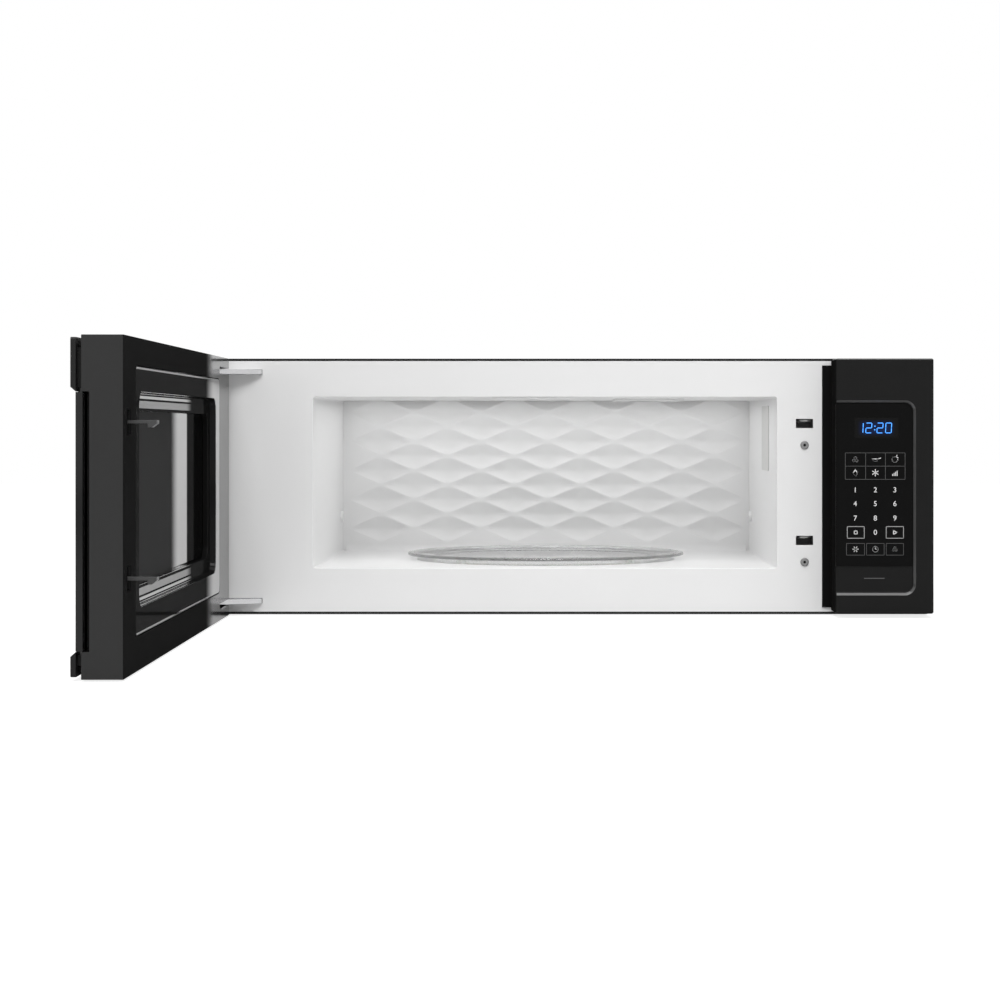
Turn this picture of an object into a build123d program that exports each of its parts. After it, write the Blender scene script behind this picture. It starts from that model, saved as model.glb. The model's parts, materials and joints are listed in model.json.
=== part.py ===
from build123d import *
import os
from math import atan, cos, degrees, radians, sin, sqrt, tan

# Over-the-range microwave with a low, wide body and a side-hinged door.
# Millimetres. +X right, -Y front, +Z up. The origin is the middle of the wall plate's back.
# The door is made at its opening angle, because the part is stored with the door open.

os.makedirs("parts", exist_ok=True)

# Body
cabinet_width = 760.0
cabinet_height = 260.0
overall_depth = 467.0
front_depth = 43.0
sheet = 1.0
hem = 2.5
hem_depth = 10.0
wall_plate_thickness = 1.5
touch_gap = 0.3
pin_clearance = 0.05

half_width = cabinet_width / 2
half_height = cabinet_height / 2
face_y = -(overall_depth - front_depth)
rear_panel_back = -wall_plate_thickness
rear_panel_front = rear_panel_back - sheet
inner_side = half_width - sheet
inner_top = half_height - sheet
base_top = -half_height + sheet

# Oven cavity
cavity_from_left = 135.0
cavity_from_right = 153.0
cavity_from_bottom = 47.0
cavity_from_top = 39.0
cavity_from_wall = 62.0
cavity_corner = 2.5
rim_round = 0.8
rear_wall_thickness = 7.0

cavity_left = -half_width + cavity_from_left
cavity_right = half_width - cavity_from_right
cavity_floor = -half_height + cavity_from_bottom
cavity_ceiling = half_height - cavity_from_top
cavity_back = -cavity_from_wall
cavity_width = cavity_right - cavity_left
cavity_height = cavity_ceiling - cavity_floor
cavity_depth = cavity_back - face_y
cavity_centre_x = (cavity_left + cavity_right) / 2
cavity_centre_z = (cavity_floor + cavity_ceiling) / 2

# Door, measured from the hinge line: along the door, through it, and up
hinge_from_left = 24.0
hinge_from_face = 31.0
door_gap = 3.0
panel_width = 98.0
door_side_gap = 2.0
open_angle = 89.5
door_trim = 1.0
bezel_trim = 3.6
door_wall = 2.5
pin_radius = 3.0

door_height = cabinet_height - door_trim
bezel_height = door_height - bezel_trim
hinge_x = -half_width + hinge_from_left
hinge_y = face_y - hinge_from_face
door_left = -hinge_from_left
door_right = half_width - panel_width - door_side_gap - hinge_x
door_inner = hinge_from_face - door_gap
door_front = hinge_from_face - front_depth
panel_left = half_width - panel_width
panel_front = face_y - front_depth

# Frames around the glass and the keypad: borders, and how far they stand forward
border_top = 41.0
border_bottom = 19.0
border_side = 17.5
border_rise = 4.0
bevel = 3.5
recess_corner = 8.0
bevel_angle = degrees(atan(bevel / border_rise))


def upright(y):
    """The vertical plane at depth y, drawn as seen from the front."""
    return Plane.XZ.offset(-y)


def block(x, y, z, mode=Mode.ADD):
    """A box between the two limits given along each axis."""
    with Locations(((x[0] + x[1]) / 2, (y[0] + y[1]) / 2, (z[0] + z[1]) / 2)):
        Box(x[1] - x[0], y[1] - y[0], z[1] - z[0], mode=mode)


def rod(centre, radius, length, along, mode=Mode.ADD):
    """A cylinder along the named axis, centred on the point given."""
    turn = {"X": (0, 90, 0), "Y": (90, 0, 0), "Z": (0, 0, 0)}[along]
    with Locations(centre):
        Cylinder(radius, length, rotation=turn, mode=mode)


def save(piece, label):
    """Labels a finished piece and writes its file."""
    piece.part.label = label
    export_step(piece.part, f"parts/{label}.step")


# ---------------------------------------------------------------- casing

duct_width = 253.0
duct_depth = 82.0
duct_from_wall = 8.0
collar_rise = 8.0
collar_drop = 9.0
collar_flange = 10.0
cabinet_bolt_spacing = 600.0
cabinet_bolt_radius = 3.4
cabinet_bolt_from_face = 124.0
nut_radius = 7.0
nut_height = 6.0
gland_from_side = 70.0
gland_from_wall = 40.0
gland_radius = 9.0
louvre_count = 9
louvre_pitch = 14.0
louvre_length = 60.0
louvre_height = 4.0
louvre_y = -150.0

cabinet_bolt_y = face_y + cabinet_bolt_from_face
duct_back = -duct_from_wall
duct_front = duct_back - duct_depth
gland_x = half_width - gland_from_side
gland_y = -gland_from_wall

# The outer wrap: top and two sides in one folded sheet, with a thicker hemmed front edge.
# Two nuts are welded under its top for the bolts that come down through the wall cabinet.
with BuildPart() as cabinet_wrap:
    with BuildSketch(upright(face_y)):
        Rectangle(cabinet_width, cabinet_height)
        with Locations((0, -sheet)):
            Rectangle(cabinet_width - 2 * sheet, cabinet_height, mode=Mode.SUBTRACT)
    extrude(amount=face_y - rear_panel_back)
    with BuildSketch(upright(face_y)):
        Rectangle(cabinet_width, cabinet_height)
        with Locations((0, -hem)):
            Rectangle(cabinet_width - 2 * hem, cabinet_height, mode=Mode.SUBTRACT)
    extrude(amount=-hem_depth)
    with BuildSketch(Plane.XY.offset(inner_top)):
        with Locations(*[(side * cabinet_bolt_spacing / 2, cabinet_bolt_y) for side in (-1, 1)]):
            RegularPolygon(nut_radius, 6)
    extrude(amount=-nut_height)
    top_cut = (inner_top - sheet, half_height + sheet)
    block((-duct_width / 2 - touch_gap, duct_width / 2 + touch_gap),
          (duct_front - touch_gap, duct_back + touch_gap), top_cut, Mode.SUBTRACT)
    for side in (-1, 1):
        rod((side * cabinet_bolt_spacing / 2, cabinet_bolt_y, inner_top),
            cabinet_bolt_radius, 4 * nut_height, "Z", Mode.SUBTRACT)
    rod((gland_x, gland_y, inner_top), gland_radius, 4 * sheet, "Z", Mode.SUBTRACT)
    for row in range(louvre_count):
        louvre_z = (row - (louvre_count - 1) / 2) * louvre_pitch
        block((inner_side - sheet, half_width + sheet),
              (louvre_y - louvre_length / 2, louvre_y + louvre_length / 2),
              (louvre_z - louvre_height / 2, louvre_z + louvre_height / 2), Mode.SUBTRACT)
save(cabinet_wrap, "cabinet_wrap")

filter_width = 156.0
filter_depth = 240.0
filter_from_side = 240.0
filter_from_face = 214.0
filter_height = 8.0
charcoal_height = 10.0
lens_width = 100.0
lens_depth = 44.0
lens_from_face = 39.0
base_screw_radius = 2.0
base_screw_head = 4.0
base_screw_length = 8.0
base_screw_inset = 14.0
filter_x = half_width - filter_from_side
filter_y = face_y + filter_from_face
lens_y = face_y + lens_from_face
base_screw_places = [(sx * (half_width - base_screw_inset), y, base_top - sheet / 2)
                     for sx in (-1, 1)
                     for y in (face_y + base_screw_inset, -base_screw_inset)]

# The underside of the casing, with openings for two grease filters and two cooktop lamps.
with BuildPart() as base_panel:
    block((-inner_side, inner_side), (face_y + hem_depth, rear_panel_back), (-half_height, base_top))
    block((-half_width + hem, half_width - hem), (face_y, face_y + hem_depth), (-half_height, base_top))
    block((-half_width + hem, half_width - hem), (face_y, face_y + hem_depth),
          (base_top, -half_height + hem))
    for side in (-1, 1):
        block((side * filter_x - filter_width / 2, side * filter_x + filter_width / 2),
              (filter_y - filter_depth / 2, filter_y + filter_depth / 2),
              (-half_height - sheet, base_top + sheet), Mode.SUBTRACT)
        block((side * filter_x - lens_width / 2, side * filter_x + lens_width / 2),
              (lens_y - lens_depth / 2, lens_y + lens_depth / 2),
              (-half_height - sheet, base_top + sheet), Mode.SUBTRACT)
    for place in base_screw_places:
        rod(place, base_screw_head + pin_clearance, 2 * sheet, "Z", Mode.SUBTRACT)
save(base_panel, "base_panel")

# Flush screws that hold the base panel to tabs inside the wrap.
with BuildPart() as base_screws:
    for x, y, z in base_screw_places:
        rod((x, y, z), base_screw_head, sheet, "Z")
        rod((x, y, z + (sheet + base_screw_length) / 2), base_screw_radius, base_screw_length, "Z")
    for x, y, z in base_screw_places:
        rod((x, y, z - sheet / 2), base_screw_radius / 2, 0.6 * sheet, "Z", Mode.SUBTRACT)
save(base_screws, "base_screws")

hook_x = 250.0
hook_width = 40.0
hook_from_bottom = 18.0
hook_rise = 9.0
hook_slot_height = 7.0
hook_slot_gap = 1.0

hook_z = -half_height + hook_from_bottom

# The back of the casing, with two slots that hang on the wall plate's hooks.
with BuildPart() as rear_panel:
    block((-inner_side, inner_side), (rear_panel_front, rear_panel_back), (base_top, inner_top))
    for side in (-1, 1):
        block((side * hook_x - hook_width / 2 - hook_slot_gap,
               side * hook_x + hook_width / 2 + hook_slot_gap),
              (rear_panel_front - sheet, rear_panel_back + sheet),
              (hook_z - hook_slot_height / 2, hook_z + hook_slot_height / 2), Mode.SUBTRACT)
save(rear_panel, "rear_panel")

wall_plate_side_margin = 10.0
wall_plate_low_margin = 5.0
wall_plate_high_margin = 35.0
stud_spacing = 406.4
wall_screw_rise = 140.0
wall_screw_radius = 3.5
wall_screw_z = -10.0
hook_thickness = 2.0

# The steel plate that is screwed to the wall first. Its two hooks carry the body.
with BuildPart() as wall_plate:
    block((-half_width + wall_plate_side_margin, half_width - wall_plate_side_margin),
          (-wall_plate_thickness, 0),
          (-half_height + wall_plate_low_margin, half_height - wall_plate_high_margin))
    for side in (-1, 1):
        for level in (-1, 1):
            rod((side * stud_spacing / 2, 0, wall_screw_z + level * wall_screw_rise / 2),
                wall_screw_radius, 6 * wall_plate_thickness, "Y", Mode.SUBTRACT)
        hook_span = (side * hook_x - hook_width / 2, side * hook_x + hook_width / 2)
        hook_low = hook_z - hook_slot_height / 2 + touch_gap
        block(hook_span, (rear_panel_front - touch_gap - hook_thickness, 0),
              (hook_low, hook_low + hook_thickness))
        block(hook_span,
              (rear_panel_front - touch_gap - hook_thickness, rear_panel_front - touch_gap),
              (hook_low, hook_low + hook_rise))
save(wall_plate, "wall_plate")

# ---------------------------------------------------------------- faceplate and cavity

latch_from_cavity = 28.0
latch_from_top = 66.0
latch_from_bottom = 75.0
slot_width = 17.5
slot_height = 9.4
screw_drop = 22.0
screw_radius = 2.0
screw_head_radius = 4.25
screw_head_height = 2.0
screw_head_chamfer = 0.8
screw_socket_radius = 1.3
screw_length = 10.0
arm_from_edge = 13.7
arm_thickness = 4.6
arm_reach = 59.0
arm_pad = 7.0
arm_slot_gap = 0.4
flange_drop = 28.0
flange_thickness = 2.0
over_open = 15.0
faceplate_lip = 9.0

latch_x = cavity_right + latch_from_cavity
latch_upper_z = half_height - latch_from_top
latch_lower_z = -half_height + latch_from_bottom
latch_heights = (latch_upper_z, latch_lower_z)
arm_z = half_height - arm_from_edge

# The arms' left edge leans, so that the door can swing a little further than it is stored.
arm_back = hinge_from_face + sheet + flange_thickness
arm_edge_start = (-arm_pad * cos(radians(over_open)), arm_pad * sin(radians(over_open)))
arm_edge_end = (arm_edge_start[0] + (arm_back - arm_edge_start[1]) * tan(radians(over_open)), arm_back)
arm_slot_left = arm_edge_end[0] - (arm_back - hinge_from_face) * tan(radians(over_open)) - arm_slot_gap
arm_slot_right = arm_reach + arm_slot_gap

# The white front frame. The cavity opens in it, and the door's hooks enter its two slots.
with BuildPart() as faceplate:
    with BuildSketch(upright(face_y)):
        Rectangle(cabinet_width - 2 * hem, cabinet_height - 2 * hem)
        with Locations((cavity_centre_x, cavity_centre_z)):
            RectangleRounded(cavity_width, cavity_height, cavity_corner, mode=Mode.SUBTRACT)
        with Locations(*[(latch_x, z) for z in latch_heights]):
            Rectangle(slot_width, slot_height, mode=Mode.SUBTRACT)
        with Locations(*[(latch_x, z - screw_drop) for z in latch_heights]):
            Circle(screw_radius, mode=Mode.SUBTRACT)
        with Locations(*[(hinge_x + (arm_slot_left + arm_slot_right) / 2, side * arm_z) for side in (-1, 1)]):
            Rectangle(arm_slot_right - arm_slot_left, arm_thickness + 2 * arm_slot_gap, mode=Mode.SUBTRACT)
    extrude(amount=-sheet)
    with BuildSketch(upright(face_y + sheet)):
        Rectangle(cabinet_width - 2 * hem, cabinet_height - 2 * hem)
        Rectangle(cabinet_width - 2 * hem - 2 * sheet, cabinet_height - 2 * hem - 2 * sheet,
                  mode=Mode.SUBTRACT)
    extrude(amount=-faceplate_lip)
    front_face = faceplate.faces().sort_by(Axis.Y)[0]
    opening_rim = front_face.inner_wires().sort_by(SortBy.LENGTH)[-1]
    fillet(opening_rim.edges(), rim_round)
save(faceplate, "faceplate")

# Round-head screws below the slots, which hold the interlock housing behind the faceplate.
with BuildPart() as faceplate_screws:
    for z in latch_heights:
        rod((latch_x, face_y - screw_head_height / 2, z - screw_drop),
            screw_head_radius, screw_head_height, "Y")
    chamfer(faceplate_screws.faces().sort_by(Axis.Y)[:2].edges(), screw_head_chamfer)
    for z in latch_heights:
        rod((latch_x, face_y + screw_length / 2, z - screw_drop), screw_radius - pin_clearance,
            screw_length, "Y")
        rod((latch_x, face_y - screw_head_height, z - screw_drop), screw_socket_radius,
            screw_head_height, "Y", Mode.SUBTRACT)
save(faceplate_screws, "faceplate_screws")

well_radius = 140.0
well_depth = 16.0
coupler_hole = 9.0
wave_port_depth = 136.0
wave_port_width = 70.0
wave_port_height = 56.0
wave_port_drop = 42.5
lamp_port_left = 13.0
lamp_port_depth = 90.0
vent_port_right = 113.0
vent_cover_length = 180.0
vent_end_gap = 10.0
port_length = 60.0
port_width = 40.0
stud_radius = 6.0
stud_height = 3.0
stud_rise = 41.0
stud_from_back = 32.0

tray_x = cavity_centre_x
tray_y = face_y + cavity_depth / 2
stud_z = cavity_floor + stud_rise
well_floor = cavity_floor - well_depth
wave_y = face_y + wave_port_depth
wave_port_z = cavity_ceiling - wave_port_drop
lamp_port_x = cavity_centre_x - lamp_port_left
vent_port_x = cavity_centre_x + vent_port_right
vent_port_depth = cavity_depth - vent_end_gap - vent_cover_length / 2

# The oven liner: four painted steel walls with a round well for the turntable in the floor.
with BuildPart() as cavity_shell:
    with BuildSketch(upright(face_y + sheet)):
        with Locations((cavity_centre_x, cavity_centre_z)):
            RectangleRounded(cavity_width + 2 * sheet, cavity_height + 2 * sheet, cavity_corner + sheet)
            RectangleRounded(cavity_width, cavity_height, cavity_corner, mode=Mode.SUBTRACT)
    extrude(amount=-(cavity_depth - sheet))
    rod((tray_x, tray_y, (cavity_floor + well_floor) / 2 - sheet / 2),
        well_radius + sheet, well_depth + sheet, "Z")
    rod((tray_x, tray_y, (cavity_floor + well_floor) / 2 + sheet),
        well_radius, well_depth + 2 * sheet, "Z", Mode.SUBTRACT)
    rod((tray_x, tray_y, well_floor), coupler_hole, 4 * sheet, "Z", Mode.SUBTRACT)
    block((cavity_right - sheet, cavity_right + 2 * sheet),
          (wave_y - wave_port_width / 2, wave_y + wave_port_width / 2),
          (wave_port_z - wave_port_height / 2, wave_port_z + wave_port_height / 2), Mode.SUBTRACT)
    for port_x, port_depth in ((lamp_port_x, lamp_port_depth), (vent_port_x, vent_port_depth)):
        block((port_x - port_width / 2, port_x + port_width / 2),
              (face_y + port_depth - port_length / 2, face_y + port_depth + port_length / 2),
              (cavity_ceiling - sheet, cavity_ceiling + 2 * sheet), Mode.SUBTRACT)
    for wall_x, inward in ((cavity_left, 1), (cavity_right, -1)):
        rod((wall_x + inward * stud_height / 2, cavity_back - stud_from_back, stud_z),
            stud_radius, stud_height, "X")
save(cavity_shell, "cavity_shell")

diamond_side_margin = 3.2
diamond_end_margin = 5.0
diamond_depth = 5.0
diamond_ridge = 52.0
diamond_land = 1.55
diamond_columns = 6
diamond_rows = 10
diamond_tip = 3.0
diamond_overrun = 3.8
diamond_shift = 1.5
cove = 7.0

diamond_pitch = (cavity_width - 2 * diamond_side_margin) / diamond_columns
diamond_rise = 2 * (cavity_height - diamond_end_margin) / diamond_rows
diamond_half_width = diamond_pitch / 2 - diamond_land
diamond_half_height = diamond_half_width * diamond_rise / diamond_pitch
diamond_first_z = cavity_ceiling + diamond_overrun
diamond_centre_x = cavity_centre_x + diamond_shift

# The tool that presses one diamond: a rhombus that narrows to a level ridge line behind it.
with BuildPart() as diamond:
    with BuildSketch(Plane.XZ):
        with BuildLine():
            Polyline((-diamond_half_width, 0), (0, diamond_half_height), (diamond_half_width, 0),
                     (0, -diamond_half_height), close=True)
        make_face()
    with BuildSketch(Plane.XZ.offset(-diamond_depth)):
        with BuildLine():
            Polyline((-diamond_ridge / 2, 0), (0, diamond_tip), (diamond_ridge / 2, 0),
                     (0, -diamond_tip), close=True)
        make_face()
    loft(ruled=True)

# The cavity's back wall, pressed with a quilt of diamonds that scatter the microwaves.
with BuildPart() as cavity_rear_wall:
    with BuildSketch(upright(cavity_back)):
        with Locations((cavity_centre_x, cavity_centre_z)):
            RectangleRounded(cavity_width + 2 * sheet, cavity_height + 2 * sheet, cavity_corner + sheet)
    extrude(amount=-rear_wall_thickness)
    for row in range(diamond_rows):
        across = diamond_columns if row % 2 else diamond_columns - 1
        row_z = diamond_first_z - row * diamond_rise / 2
        with Locations(*[(diamond_centre_x + (column - (across - 1) / 2) * diamond_pitch,
                          cavity_back, row_z) for column in range(across)]):
            add(diamond.part, mode=Mode.SUBTRACT)
    straight_edge = (cavity_left + cavity_corner + sheet, cavity_right - cavity_corner - sheet)
    block(straight_edge, (cavity_back, cavity_back + diamond_depth),
          (cavity_ceiling, cavity_ceiling + sheet))
    block(straight_edge, (cavity_back - cove, cavity_back + diamond_depth),
          (cavity_floor, cavity_floor + cove))
    rod((cavity_centre_x, cavity_back - cove, cavity_floor + cove), cove,
        cavity_width, "X", Mode.SUBTRACT)
save(cavity_rear_wall, "cavity_rear_wall")

wave_cover_width = 83.0
wave_cover_height = 69.0
wave_cover_thickness = 0.8
wave_cover_corner = 5.0

# The mica sheet over the port where the microwaves come in.
with BuildPart() as waveguide_cover:
    block((cavity_right - wave_cover_thickness, cavity_right),
          (wave_y - wave_cover_width / 2, wave_y + wave_cover_width / 2),
          (wave_port_z - wave_cover_height / 2, wave_port_z + wave_cover_height / 2))
    fillet(waveguide_cover.edges().filter_by(Axis.X), wave_cover_corner)
save(waveguide_cover, "waveguide_cover")

lamp_cover_width = 84.0
lamp_cover_length = 150.0
vent_cover_width = 75.0
cover_thickness = 1.6
vent_slot_count = 6
vent_slot_pitch = 9.0
vent_slot_width = 3.0
vent_slot_margin = 3.0


def ceiling_cover(port_x, port_depth, width, length, slots):
    """A shallow moulded cover that clips flat under the cavity's ceiling."""
    with BuildPart() as cover:
        block((port_x - width / 2, port_x + width / 2),
              (face_y + port_depth - length / 2, face_y + port_depth + length / 2),
              (cavity_ceiling - cover_thickness, cavity_ceiling))
        chamfer(cover.faces().sort_by(Axis.Z)[0].edges(), cover_thickness / 2)
        for slot in range(slots):
            slot_y = face_y + port_depth + (slot - (slots - 1) / 2) * vent_slot_pitch
            block((port_x - port_width / 2 + vent_slot_margin, port_x + port_width / 2 - vent_slot_margin),
                  (slot_y - vent_slot_width / 2, slot_y + vent_slot_width / 2),
                  (cavity_ceiling - 2 * cover_thickness, cavity_ceiling + sheet), Mode.SUBTRACT)
    return cover


cavity_lamp_cover = ceiling_cover(lamp_port_x, lamp_port_depth, lamp_cover_width, lamp_cover_length, 0)
save(cavity_lamp_cover, "cavity_lamp_cover")
cavity_vent_cover = ceiling_cover(vent_port_x, vent_port_depth, vent_cover_width, vent_cover_length,
                                  vent_slot_count)
save(cavity_vent_cover, "cavity_vent_cover")

bulb_radius = 8.0
bulb_length = 24.0
bulb_round = 6.0
lamp_socket_height = 24.0
lamp_socket_wall = 6.0
lamp_socket_top = 2.0

# The cavity lamp: a small capless bulb in a moulded holder on top of the ceiling.
with BuildPart() as cavity_lamp:
    holder_z = cavity_ceiling + sheet
    port_y = face_y + lamp_port_depth
    for wall, top, mode in ((lamp_socket_wall, 0, Mode.ADD), (0, lamp_socket_top, Mode.SUBTRACT)):
        block((lamp_port_x - port_width / 2 - wall, lamp_port_x + port_width / 2 + wall),
              (port_y - port_length / 2 - wall, port_y + port_length / 2 + wall),
              (holder_z, holder_z + lamp_socket_height - top), mode)
    rod((lamp_port_x, port_y + (port_length - bulb_length) / 2, holder_z + lamp_socket_height / 2),
        bulb_radius, bulb_length, "Y")
    bulb_side = cavity_lamp.faces().filter_by(GeomType.CYLINDER).sort_by(Axis.Y)[-1]
    fillet(bulb_side.edges().sort_by(Axis.Y)[0], bulb_round)
save(cavity_lamp, "cavity_lamp")

# ---------------------------------------------------------------- turntable

glass_thickness = 4.5
tray_radius = 150.0
tray_flat_radius = 118.0
tray_rise = 9.4
rim_band = 2.9
rim_land = 3.5
rim_under_in = 3.0
rim_under_up = 1.5
dish_step = 2.0
lug_radius = 17.0
lug_size = (7.0, 9.0, 4.0)
coupler_arm_radius = 13.0
coupler_arm_size = (20.0, 7.0, 6.0)
coupler_gap = 1.0
roller_radius = 7.0
roller_width = 6.0
roller_track = 105.0
roller_bore = 1.55
roller_chamfer = 0.8
axle_cap_radius = 3.0
axle_cap_length = 2.0
ring_width = 6.0
ring_thickness = 3.0
roller_count = 3
first_roller_angle = 90.0
motor_radius = 25.0
motor_height = 15.0
shaft_radius = 3.5
shaft_end_gap = 2.0
motor_ear = 10.0
motor_ear_width = 12.0
motor_ear_thickness = 2.0
terminal_width = 20.0
terminal_reach = 9.0
terminal_drop = 5.0

roller_z = well_floor + touch_gap + roller_radius
tray_under = roller_z + roller_radius + touch_gap
ring_radius = roller_track - roller_width / 2 - touch_gap - ring_width / 2
tray_axis_plane = Plane(origin=(tray_x, tray_y, tray_under), x_dir=(1, 0, 0), z_dir=(0, -1, 0))
roller_angles = [first_roller_angle + k * 360 / roller_count for k in range(roller_count)]

# The heat-proof glass tray: a flat dish with a sloping rim and three lugs under its middle.
with BuildPart() as glass_tray:
    with BuildSketch(tray_axis_plane):
        with BuildLine():
            Polyline((0, 0), (tray_flat_radius, 0),
                     (tray_radius - rim_under_in, tray_rise - rim_band - rim_under_up),
                     (tray_radius, tray_rise - rim_band), (tray_radius, tray_rise),
                     (tray_radius - rim_land, tray_rise), (tray_flat_radius + dish_step, glass_thickness),
                     (0, glass_thickness), close=True)
        make_face()
    revolve(axis=Axis((tray_x, tray_y, 0), (0, 0, 1)))
    with Locations(Location((tray_x, tray_y, tray_under - lug_size[2] / 2))):
        with PolarLocations(lug_radius, roller_count, first_roller_angle + 180 / roller_count):
            Box(*lug_size)
save(glass_tray, "glass_tray")

# The three-armed coupler that turns the tray, on the motor's shaft.
with BuildPart() as turntable_coupler:
    coupler_low = well_floor + touch_gap
    coupler_high = tray_under - touch_gap
    coupler_mid = (coupler_low + coupler_high) / 2
    rod((tray_x, tray_y, coupler_mid), coupler_hole - coupler_gap, coupler_high - coupler_low, "Z")
    with Locations(Location((tray_x, tray_y, coupler_high - coupler_arm_size[2] / 2))):
        with PolarLocations(coupler_arm_radius, roller_count, first_roller_angle):
            Box(*coupler_arm_size)
    rod((tray_x, tray_y, coupler_mid), shaft_radius + pin_clearance,
        2 * (coupler_high - coupler_low), "Z", Mode.SUBTRACT)
save(turntable_coupler, "turntable_coupler")

# The flat synchronous motor under the cavity floor.
with BuildPart() as turntable_motor:
    motor_top = well_floor - sheet
    rod((tray_x, tray_y, motor_top - motor_height / 2), motor_radius, motor_height, "Z")
    with Locations((tray_x, tray_y, motor_top - motor_ear_thickness / 2)):
        Box(2 * (motor_radius + motor_ear), motor_ear_width, motor_ear_thickness)
    shaft_top = coupler_high - shaft_end_gap
    rod((tray_x, tray_y, (motor_top + shaft_top) / 2), shaft_radius, shaft_top - motor_top, "Z")
    block((tray_x - terminal_width / 2, tray_x + terminal_width / 2),
          (tray_y + motor_radius / 2, tray_y + motor_radius + terminal_reach),
          (motor_top - motor_height, motor_top - terminal_drop))
save(turntable_motor, "turntable_motor")


def spoke(angle):
    """The upright plane through the tray's axis that faces along one roller's axle."""
    return Plane(origin=(tray_x, tray_y, roller_z),
                 x_dir=(cos(radians(angle + 90)), sin(radians(angle + 90)), 0),
                 z_dir=(cos(radians(angle)), sin(radians(angle)), 0))


# The ring that carries the three rollers round the well.
with BuildPart() as roller_ring:
    with BuildSketch(Plane.XY.offset(roller_z - ring_thickness / 2)):
        with Locations((tray_x, tray_y)):
            Circle(ring_radius + ring_width / 2)
            Circle(ring_radius - ring_width / 2, mode=Mode.SUBTRACT)
    extrude(amount=ring_thickness)
    for angle in roller_angles:
        axle_end = roller_track + roller_width / 2 + touch_gap
        with BuildSketch(spoke(angle).offset(ring_radius)):
            Circle(roller_bore - pin_clearance)
        extrude(amount=axle_end - ring_radius + axle_cap_length)
        with BuildSketch(spoke(angle).offset(axle_end)):
            Circle(axle_cap_radius)
        extrude(amount=axle_cap_length)
save(roller_ring, "roller_ring")

# Three plastic rollers, each free on its own axle.
for number, angle in enumerate(roller_angles, start=1):
    with BuildPart() as roller:
        with BuildSketch(spoke(angle).offset(roller_track - roller_width / 2)):
            Circle(roller_radius)
            Circle(roller_bore, mode=Mode.SUBTRACT)
        extrude(amount=roller_width)
        chamfer(roller.edges().filter_by(GeomType.CIRCLE).sort_by(SortBy.LENGTH)[-2:], roller_chamfer)
    save(roller, f"roller_{number}")

# ---------------------------------------------------------------- control panel

panel_top_gap = 1.0
panel_bottom_gap = 3.5
panel_wall = 2.5
field_drop = 4.0
field_lift = 2.7
field_inset = 3.4
panel_edge = 2.0
overlay_thickness = 1.2
overlay_rise = 25.8
overlay_top_gap = 0.5
overlay_corner = 7.0
display_width = 44.0
display_height = 20.0
display_from_side = 57.0
display_from_top = 70.5
strip_width = 9.2
strip_thickness = 2.0
strip_chamfer = 1.0
strip_end_margin = 7.0
strip_hole_radius = 1.4

panel_top = half_height - panel_top_gap
panel_bottom = -half_height + panel_bottom_gap
recess_right = half_width - border_side - field_inset
recess_top = panel_top - border_top - field_drop
recess_bottom = panel_bottom + border_bottom + field_lift
recess_y = panel_front + border_rise
overlay_bottom = recess_bottom + overlay_rise
display_x = half_width - display_from_side
display_z = half_height - display_from_top

# The hollow black panel right of the door, with a sunk field for the keypad.
with BuildPart() as control_bezel:
    block((panel_left, half_width), (panel_front, face_y), (panel_bottom, panel_top))
    fillet(control_bezel.edges().filter_by(Axis.Y), panel_edge)
    chamfer(control_bezel.faces().sort_by(Axis.Y)[0].edges(), panel_edge / 2)
    with BuildSketch(upright(panel_front)):
        field_left = panel_left - border_side
        with Locations(((field_left + recess_right + bevel) / 2, (recess_top + recess_bottom) / 2)):
            RectangleRounded(recess_right + bevel - field_left, recess_top - recess_bottom + 2 * bevel,
                             recess_corner + bevel)
    extrude(amount=-border_rise, taper=bevel_angle, mode=Mode.SUBTRACT)
    block((panel_left + panel_wall, half_width - panel_wall),
          (recess_y + panel_wall, face_y + sheet),
          (panel_bottom + panel_wall, panel_top - panel_wall), Mode.SUBTRACT)
    block((display_x - display_width / 2, display_x + display_width / 2),
          (recess_y - sheet, recess_y + 2 * panel_wall),
          (display_z - display_height / 2, display_z + display_height / 2), Mode.SUBTRACT)
save(control_bezel, "control_bezel")

# The keypad sheet: a membrane with no travelling keys, stuck in the panel's field.
with BuildPart() as keypad_overlay:
    block((panel_left + touch_gap, recess_right - touch_gap), (recess_y - overlay_thickness, recess_y),
          (overlay_bottom, recess_top - overlay_top_gap))
    fillet(keypad_overlay.edges().filter_by(Axis.Y).sort_by(Axis.Z)[-2:].sort_by(Axis.X)[-1], overlay_corner)
    block((display_x - display_width / 2, display_x + display_width / 2),
          (recess_y - 2 * overlay_thickness, recess_y + sheet),
          (display_z - display_height / 2, display_z + display_height / 2), Mode.SUBTRACT)
save(keypad_overlay, "keypad_overlay")

# The tinted window in front of the clock.
with BuildPart() as display_window:
    block((display_x - display_width / 2, display_x + display_width / 2),
          (recess_y - overlay_thickness, recess_y + panel_wall),
          (display_z - display_height / 2, display_z + display_height / 2))
save(display_window, "display_window")

board_thickness = 1.6
board_gap = 12.0
board_side_margin = 3.0
board_end_margin = 28.5
board_post_radius = 3.0
board_post_inset = 5.0

# Each part on the board's back: how far above its lower end, how tall, and how deep.
board_parts = ((15.0, 22.0, 16.0), (45.0, 18.0, 10.0), (75.0, 14.0, 7.0), (120.0, 24.0, 12.0))
board_part_margin = 10.0

board_y = recess_y + panel_wall + board_gap
board_low = panel_bottom + board_end_margin
board_high = panel_top - board_end_margin

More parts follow.
